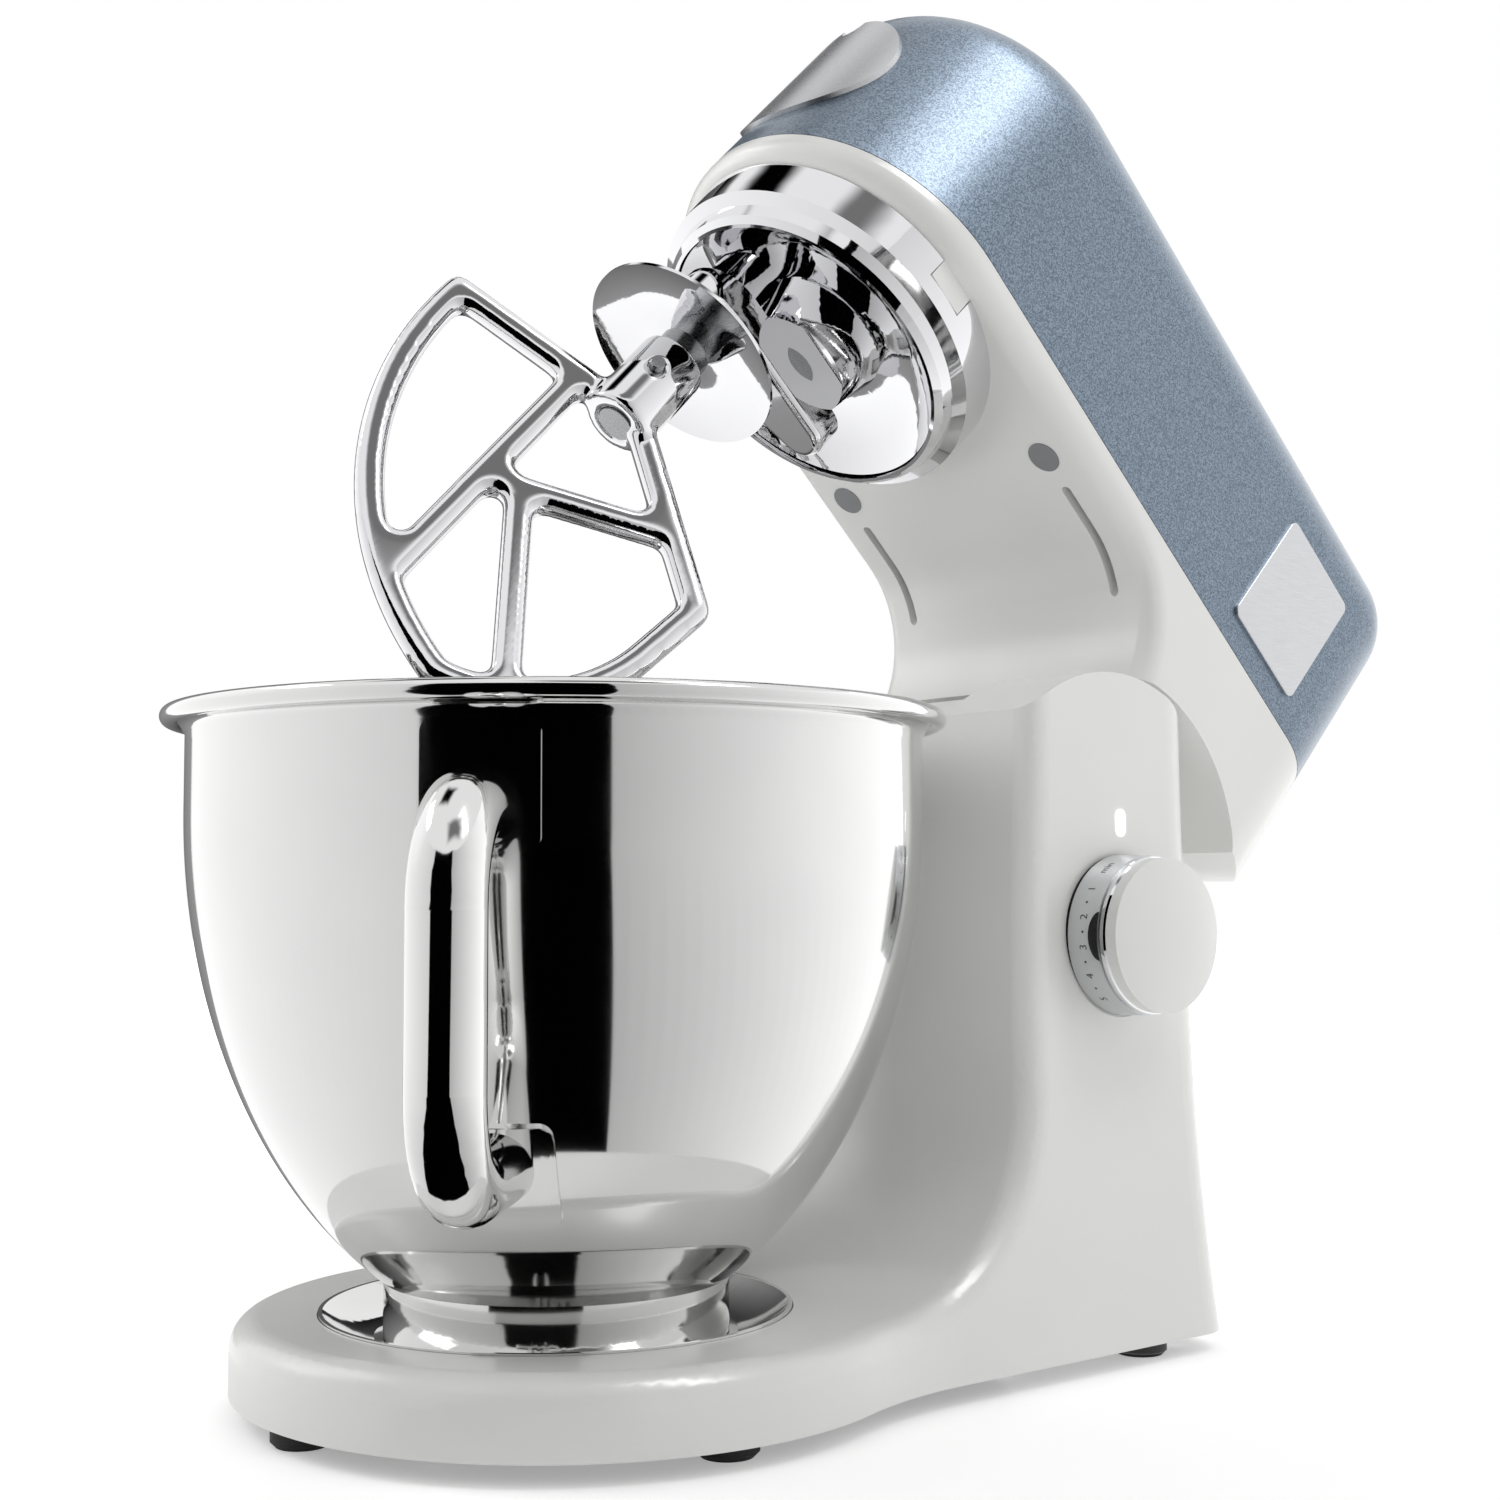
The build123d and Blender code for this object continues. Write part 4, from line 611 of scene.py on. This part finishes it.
@dataclass
class MirrorBowl:
    """The bowl as one smooth turned surface, so that its mirror finish shows no facets."""

    frame: dict
    shop: PaintShop
    radius_mm: float = 106.0
    depth_mm: float = 150.0
    shoulder_mm: float = 168.0
    floor_mm: float = 31.0
    wall_mm: float = 1.2
    flare_mm: float = 189.0
    bead_radius_mm: float = 110.3
    bead_height_mm: float = 194.0
    bead_round_mm: float = 2.7
    bead_open_deg: float = 150.0
    pole_mm: float = 0.02
    floor_points: int = 8
    curve_points: int = 72
    rise_points: int = 9
    bead_points: int = 33
    segments: int = 288

    def wall(self, inset: float, floor: float) -> np.ndarray:
        """Trace the wall from the floor's middle up to the flare.

        The floor is a level line out from the axis. The curve is part of an ellipse about the
        shoulder's middle: radius times cosine across and depth times sine down. The rest is upright.

        Args:
            inset: Distance inside the outer skin, in mm.
            floor: Height of the floor, in mm.

        Returns:
            Radii and heights in mm.
        """
        across, deep = self.radius_mm - inset, self.depth_mm - inset
        lowest = math.asin((self.shoulder_mm - floor) / deep)
        turn = np.linspace(lowest, 0, self.curve_points)
        curve = np.column_stack([across * np.cos(turn), self.shoulder_mm - deep * np.sin(turn)])
        reach = np.linspace(self.pole_mm, curve[0, 0], self.floor_points)[:-1]
        base = np.column_stack([reach, np.full(len(reach), floor)])
        rise = np.linspace(self.shoulder_mm, self.flare_mm, self.rise_points)[1:]
        straight = np.column_stack([np.full(len(rise), across), rise])
        return np.vstack([base, curve, straight])

    def profile(self) -> np.ndarray:
        """Trace the section: the outside, the rim's bead as an open circle, and the inside.

        Returns:
            Radii and heights in mm.
        """
        roll = np.radians(np.linspace(-self.bead_open_deg, self.bead_open_deg, self.bead_points))
        out = self.bead_radius_mm + self.bead_round_mm * np.cos(roll)
        up = self.bead_height_mm + self.bead_round_mm * np.sin(roll)
        inside = self.wall(self.wall_mm, self.floor_mm + self.wall_mm)[::-1]
        return np.vstack([self.wall(0, self.floor_mm), np.column_stack([out, up]), inside])

    def build(self) -> bpy.types.Object:
        """Turn the section about the bowl's axis: each of its radii becomes a circle at its height.

        Returns:
            The bowl, in place of the CAD mesh.
        """
        low, high = world_box(self.frame["nodes"]["bowl"])
        axis = (low + high) / 2
        line = self.profile() * MM
        rings = line[:, 0, None, None] * circle(1.0, self.segments) + axis[:2]
        height = np.repeat(line[:, 1], self.segments).reshape(len(line), self.segments, 1)
        points = np.concatenate([rings, height], axis=-1).reshape(-1, 3)
        bowl = mesh_object("mirror_bowl", points, grid_faces(len(line), self.segments, closed=True))
        smooth_faces(bowl.data)
        bowl.data.materials.append(self.shop.material("polished_steel"))
        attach(bowl, "bowl_set")
        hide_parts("bowl")
        return bowl


@dataclass
class SpeedDial:
    """Printed scale on the knob's ring, and painted shade in its finger notch and in the dark gap behind
    it.
    """

    frame: dict
    marks: tuple[tuple[str, float], ...] = (
        ("min", 57.0), ("1", 35.2), ("2", 13.7), ("3", -7.8), ("4", -29.3), ("5", -50.8),
    )
    dots_deg: tuple[float, ...] = (24.5, 3.0, -18.5, -40.0)
    figure_mm: float = 2.7
    font_share: float = 0.69
    dot_mm: float = 0.42
    dot_sides: int = 12
    taper_mm: float = 0.4
    print_mm: float = 0.03
    notch_mm: Pair = (7.6, 3.6)
    notch_points: int = 25
    seal_depth_mm: float = 1.5
    seal_clearance_mm: float = 0.05
    seal_inset_mm: float = 0.4
    seal_sides: int = 96
    inner: float = field(init=False)
    outer: float = field(init=False)
    radius: float = field(init=False)
    middle: np.ndarray = field(init=False)

    def __post_init__(self) -> None:
        """Read the ring's place and size from its CAD node."""
        low, high = world_box(self.frame["nodes"]["dial_ring"])
        self.inner, self.outer = low[0], high[0]
        self.radius = (high[2] - low[2]) / 2
        self.middle = (low + high) / 2

    def build(self) -> list[bpy.types.Object]:
        """Make the print, and the painted shade of the finger notch and of the gap."""
        return [self.scale(), self.notch(), self.seal()]

    def wrap(self, flat: np.ndarray, angle_deg: float) -> np.ndarray:
        """Roll flat points onto the ring; the figures' tops face the column.

        A distance along the print becomes an angle, which is the distance over the ring's radius.
        The ring's radius shrinks evenly by its taper from the column's side to the trim.

        Args:
            flat: Points along and up the print, in metres from the mark's centre.
            angle_deg: Mark's angle above the ring's front.

        Returns:
            Points in the mixer's frame.
        """
        x = self.middle[0] - flat[:, 1]
        along = (x - self.inner) / (self.outer - self.inner)
        ring = self.radius + (self.print_mm - self.taper_mm * along) * MM
        turn = math.radians(angle_deg) + flat[:, 0] / self.radius
        y, z = self.middle[1:]
        return np.column_stack([x, y - ring * np.cos(turn), z + ring * np.sin(turn)])

    def figure(self, text: str) -> tuple[np.ndarray, list[tuple[int, ...]]]:
        """Draw a mark's text flat, centred on its middle.

        Args:
            text: What the mark says.

        Returns:
            Points in metres and faces.
        """
        curve = bpy.data.curves.new("figure", "FONT")
        curve.body = text
        curve.size = self.figure_mm * MM / self.font_share
        curve.align_x = "CENTER"
        holder = bpy.data.objects.new("figure", curve)
        mesh = bpy.data.meshes.new_from_object(holder)
        points = np.empty(3 * len(mesh.vertices))
        mesh.vertices.foreach_get("co", points)
        flat = points.reshape(-1, 3)[:, :2] - np.array([0.0, self.figure_mm * MM / 2])
        faces = [tuple(p.vertices) for p in mesh.polygons]
        bpy.data.objects.remove(holder)
        bpy.data.meshes.remove(mesh)
        return flat, faces

    def scale(self) -> bpy.types.Object:
        """Print the figures, and round dots between them.

        Returns:
            The print.
        """
        dot = circle(self.dot_mm * MM, self.dot_sides)
        drawn = [(*self.figure(text), angle) for text, angle in self.marks]
        drawn += [(dot, [range(len(dot))], angle) for angle in self.dots_deg]
        verts = np.vstack([self.wrap(flat, angle) for flat, _, angle in drawn])
        starts = np.cumsum([0] + [len(flat) for flat, _, _ in drawn])
        faces = [start + np.array(face) for start, (_, shape, _) in zip(starts, drawn) for face in shape]
        print_sheet = mesh_object("dial_scale", verts, faces)
        print_sheet.data.materials.append(DialFinish.INK.value.build())
        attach(print_sheet, "knob")
        return print_sheet

    def notch(self) -> bpy.types.Object:
        """Lay painted shade of the finger notch on the ring, against the bright trim, as a dark half
        ellipse.

        Returns:
            The painted notch shade.
        """
        across, deep = self.notch_mm
        turn = np.linspace(0, math.pi, self.notch_points)
        edge = self.middle[0] - self.outer
        rim = np.column_stack([across * MM * np.cos(turn), edge + deep * MM * np.sin(turn)])
        base = np.column_stack([rim[:, 0], np.full(len(rim), edge)])
        verts = np.vstack([self.wrap(rim, 0.0), self.wrap(base, 0.0)])
        patch = mesh_object("dial_notch_shade", verts, grid_faces(2, len(rim)))
        # A flat dark sheet that paints the notch's shade
        patch.data.materials.append(DialFinish.NOTCH.value.build())
        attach(patch, "knob")
        return patch

    def seal(self) -> bpy.types.Object:
        """Fill the gap between the ring and the column with painted shade: a dark band between two equal
        circles.

        Returns:
            The band of painted gap shade.
        """
        rim = self.middle[1:] + circle(self.radius - self.seal_inset_mm * MM, self.seal_sides)
        edges = self.inner - np.array([self.seal_depth_mm, self.seal_clearance_mm]) * MM
        verts = np.column_stack([np.repeat(edges, len(rim)), np.tile(rim, (len(edges), 1))])
        # A dark band that paints the gap's shade
        seal = mesh_object("dial_gap_shade", verts, grid_faces(len(edges), len(rim), closed=True))
        smooth_faces(seal.data)
        seal.data.materials.append(DialFinish.SEAL.value.build())
        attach(seal, "base")
        return seal


@dataclass
class PhotoCamera:
    """The photograph's camera, fitted to the bowl's rim, its seat, the knob and the base."""

    place_mm: Point = (511.2, -448.7, 145.3)
    turn_deg: float = 51.18
    pitch_deg: float = 3.82
    roll_deg: float = -0.15
    level_deg: float = 90.0
    lens_mm: float = 50.224
    sensor_mm: float = 36.0
    nearest: float = 0.01
    farthest: float = 50.0

    def build(self) -> bpy.types.Object:
        """Make the camera and give it to the scene.

        A camera looks straight down at first. It is rolled, turned up to level and on by its
        pitch, and then turned about the vertical.

        Returns:
            The camera.
        """
        data = bpy.data.cameras.new("photo_camera")
        data.lens = self.lens_mm
        data.sensor_width = self.sensor_mm
        data.clip_start = self.nearest
        data.clip_end = self.farthest
        camera = bpy.data.objects.new("photo_camera", data)
        bpy.context.scene.collection.objects.link(camera)
        turn = Matrix.Rotation(math.radians(self.turn_deg), 4, "Z")
        tilt = Matrix.Rotation(math.radians(self.level_deg + self.pitch_deg), 4, "X")
        roll = Matrix.Rotation(math.radians(self.roll_deg), 4, "Z")
        spot = Matrix.Translation(Vector(self.place_mm) * MM)
        camera.matrix_world = spot @ turn @ tilt @ roll
        bpy.context.scene.camera = camera
        return camera


@dataclass(frozen=True)
class SoftBox:
    """One large studio light."""

    name: str
    place: Point
    aim: Point
    size: Pair
    power: float
    shine_only: bool = False

    def build(self) -> None:
        """Make the light; one that is for shine only shows in bright surfaces and lights no dull ones."""
        data = bpy.data.lights.new(self.name, "AREA")
        data.shape = "RECTANGLE"
        data.size, data.size_y = self.size
        data.energy = self.power
        light = bpy.data.objects.new(self.name, data)
        bpy.context.scene.collection.objects.link(light)
        light.location = self.place
        way = Vector(self.aim) - Vector(self.place)
        light.rotation_mode = "QUATERNION"
        light.rotation_quaternion = way.to_track_quat("-Z", "Y")
        light.visible_diffuse = not self.shine_only


def hang_card(name: str, verts: np.ndarray, faces: Faces, glow: np.ndarray, shades: bool = False) -> None:
    """Make a studio card that bright surfaces reflect and the camera doesn't see.

    Args:
        name: Name of the card.
        verts: Points in metres.
        faces: Point numbers of each face.
        glow: Brightness at each point, where one is the room's white.
        shades: Whether the card also changes the light on dull surfaces.
    """
    card = mesh_object(name, verts, faces)
    card.data.attributes.new("glow", "FLOAT", "POINT").data.foreach_set("value", glow.ravel())
    shader = Shader("studio_card")
    light = shader.add("ShaderNodeAttribute", attribute_name="glow").outputs["Fac"]
    card.data.materials.append(
        shader.wear(
            Base_Color=srgb("#020202"),
            Roughness=1.0,
            Specular_IOR_Level=0.0,
            Emission_Color=WHITE,
            Emission_Strength=light,
        )
    )
    shader.glow_only_where_hit()
    card.visible_camera = False
    card.visible_diffuse = shades
    card.visible_shadow = shades


@dataclass(frozen=True)
class Flag:
    """Upright card round the bowl between two compass directions, with a skirt on the floor.

    It fades from one edge to the other. The skirt only shows in reflections, so the floor keeps
    the mixer's shadow.
    """

    name: str
    azimuth_deg: Pair
    glow: Pair
    skirt: float = 0.13
    distance: float = 1.5
    height: float = 1.5
    shades: bool = False
    centre: Pair = (0.0, -0.109)
    lift: float = 0.001
    steps: int = 24

    def build(self) -> None:
        """Make the card as part of an upright cylinder, and its skirt as part of a ring."""
        self.band(self.name, ((self.distance, self.lift), (self.distance, self.height)), self.shades)
        self.band(f"{self.name}_skirt", ((self.skirt, self.lift), (self.distance, self.lift)), False)

    def band(self, name: str, edges: tuple[Pair, ...], shades: bool) -> None:
        """Make a strip between two arcs about the bowl's axis, each with its radius and height.

        Args:
            name: Name of the strip.
            edges: Radius and height of each arc.
            shades: Whether the strip also changes the light on dull surfaces.
        """
        share = np.linspace(0, 1, self.steps + 1)
        turn = np.radians(np.interp(share, (0, 1), self.azimuth_deg))
        way = np.column_stack([np.cos(turn), np.sin(turn)])
        arcs = [np.column_stack([self.centre + way * reach, np.full(len(way), z)]) for reach, z in edges]
        glow = np.tile(np.interp(share, (0, 1), self.glow), len(edges))
        hang_card(name, np.vstack(arcs), grid_faces(len(edges), len(way)), glow, shades)


@dataclass(frozen=True)
class Panel:
    """Flat card turned to the mixer's head, which fades to the room's white at its edges."""

    name: str
    place: Point
    size: Pair
    glow: float
    aim: Point = (0.0, -0.02, 0.34)
    feather: float = 0.6
    steps: int = 25

    def build(self) -> None:
        """Hang the card as a grid whose glow is a smooth step of the distance from its edge."""
        way = (Vector(self.aim) - Vector(self.place)).normalized()
        across = way.cross(Vector((0, 0, 1))).normalized()
        up = across.cross(way)
        right, high = np.meshgrid(np.linspace(-1, 1, self.steps), np.linspace(-1, 1, self.steps))
        inside = np.clip((1 - np.maximum(abs(right), abs(high))) / self.feather, 0, 1)
        soft = inside**2 * (3 - 2 * inside)
        wide, tall = np.array(self.size) / 2
        verts = self.place + np.outer(right.ravel(), across) * wide + np.outer(high.ravel(), up) * tall
        hang_card(self.name, verts, grid_faces(self.steps, self.steps), 1 + (self.glow - 1) * soft)


@dataclass
class Studio:
    """White floor and room, soft lights, and cards that give the metal its contrast."""

    floor_colour: str = "#FAFAFA"
    floor_shade: str = "#F7F7F7"
    floor_roughness: float = 0.9
    floor_radius: float = 6.0
    floor_sides: int = 64
    cloud_mm: float = 400.0
    fade_reach: Pair = (0.18, 0.7)
    fade_glow: Pair = (0.34, 1.0)
    bounce: float = 0.35
    room: float = 0.64
    middle: Point = (0.0, -0.05, 0.2)

    def build(self) -> None:
        """Make the floor, the lights, the cards and the world."""
        self.floor()
        for thing in (*self.lights(), *self.cards()):
            thing.build()
            LOG.info("set up %s", thing.name)
        self.world()
        bpy.context.scene.view_settings.view_transform = "Standard"

    def floor(self) -> None:
        """Make the floor as a disc that glows like the room away from the mixer.

        The glow is a smooth step of the distance from the mixer. What isn't seen by the camera
        itself gets a share of it.
        """
        disc = circle(self.floor_radius, self.floor_sides)
        sheet = mesh_object("floor", np.column_stack([disc, np.zeros(len(disc))]), [range(len(disc))])
        shader = Shader("white_paper_floor")
        where = shader.place()
        reach = shader.add("ShaderNodeVectorMath", {0: where}, operation="LENGTH").outputs["Value"]
        (near, far), (dim, full) = self.fade_reach, self.fade_glow
        inputs = {"Value": reach, "From Min": near, "From Max": far, "To Min": dim, "To Max": full}
        fade = shader.add("ShaderNodeMapRange", inputs, interpolation_type="SMOOTHSTEP").outputs["Result"]
        seen = shader.add("ShaderNodeLightPath").outputs["Is Camera Ray"]
        inputs = {"Value": seen, "To Min": self.bounce, "To Max": 1.0}
        share = shader.add("ShaderNodeMapRange", inputs).outputs["Result"]
        glow = shader.add("ShaderNodeMath", {0: fade, 1: share}, operation="MULTIPLY").outputs["Value"]
        clouds = shader.noise(self.cloud_mm, where)
        sheet.data.materials.append(
            shader.wear(
                Base_Color=shader.blend(clouds, srgb(self.floor_colour), srgb(self.floor_shade)),
                Roughness=self.floor_roughness,
                Emission_Color=WHITE,
                Emission_Strength=glow,
            )
        )
        shader.glow_only_where_hit()

    def lights(self) -> list[SoftBox]:
        """List the soft boxes.

        Returns:
            The lights, not yet made.
        """
        return [
            SoftBox("key_soft_box", (-1.3, -1.1, 1.3), self.middle, (0.9, 1.2), 10.5),
            SoftBox("top_soft_box", (0.95, 0.35, 1.95), self.middle, (0.5, 0.9), 5.5),
            SoftBox("side_soft_box", (1.5, 0.9, 0.7), self.middle, (0.5, 1.0), 0.8),
            SoftBox("cover_soft_box", (0.95, 0.35, 1.95), self.middle, (0.5, 0.9), 17.0, shine_only=True),
        ]

    def cards(self) -> list[Flag | Panel]:
        """List the cards round the bowl, which give its stripe and fades, and those over the head.

        Returns:
            The cards, not yet made.
        """
        return [
            Flag("front_flag", (-73, -19), (0.0, 0.0), shades=True),
            Flag("right_fade", (-19, 107), (0.56, 1.55)),
            Flag("left_fade", (-176, -73), (1.28, 0.82)),
            Flag("left_edge_flag", (-218, -176), (0.0, 0.35), skirt=0.2, distance=1.1, height=1.2),
            Panel("overhead_grey_card", (0.78, -0.32, 1.6), (1.1, 0.7), 0.2),
            Panel("rear_left_card", (-1.1, 0.52, 1.36), (1.1, 0.6), 0.0),
            Panel("nose_card", (-0.55, -0.25, 1.75), (0.8, 0.7), 0.0),
        ]

    def world(self) -> None:
        """Fill the room with soft light, and show it white to the camera and in the metal."""
        world = bpy.data.worlds.new("bright_room")
        bpy.context.scene.world = world
        world.use_nodes = True
        nodes = Nodes(world.node_tree)
        ray = nodes.add("ShaderNodeLightPath").outputs
        mirrored = nodes.add(
            "ShaderNodeMath", {0: ray["Is Glossy Ray"], 1: ray["Is Transmission Ray"]}, operation="MAXIMUM"
        ).outputs["Value"]
        seen = nodes.add(
            "ShaderNodeMath", {0: ray["Is Camera Ray"], 1: mirrored}, operation="MAXIMUM"
        ).outputs["Value"]
        inputs = {"Value": seen, "To Min": self.room, "To Max": 1.0}
        strength = nodes.add("ShaderNodeMapRange", inputs).outputs["Result"]
        background = world.node_tree.nodes["Background"]
        nodes.feed(background, "Color", WHITE)
        nodes.feed(background, "Strength", strength)


def clear_scene() -> None:
    """Remove what a new Blender file brings along."""
    for thing in list(bpy.data.objects):
        bpy.data.objects.remove(thing)


def main() -> None:
    """Dress the mixer, light it and set the camera."""
    logging.basicConfig(level=logging.INFO)
    clear_scene()
    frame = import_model()
    shop = PaintShop(frame)
    shop.dress_nodes()
    for piece in (MirrorBowl(frame, shop).build(), *SpeedDial(frame).build()):
        LOG.info("added %s", piece.name)
    LOG.info("set up %s", PhotoCamera().build().name)
    Studio().build()


if __name__ == "__main__":
    main()
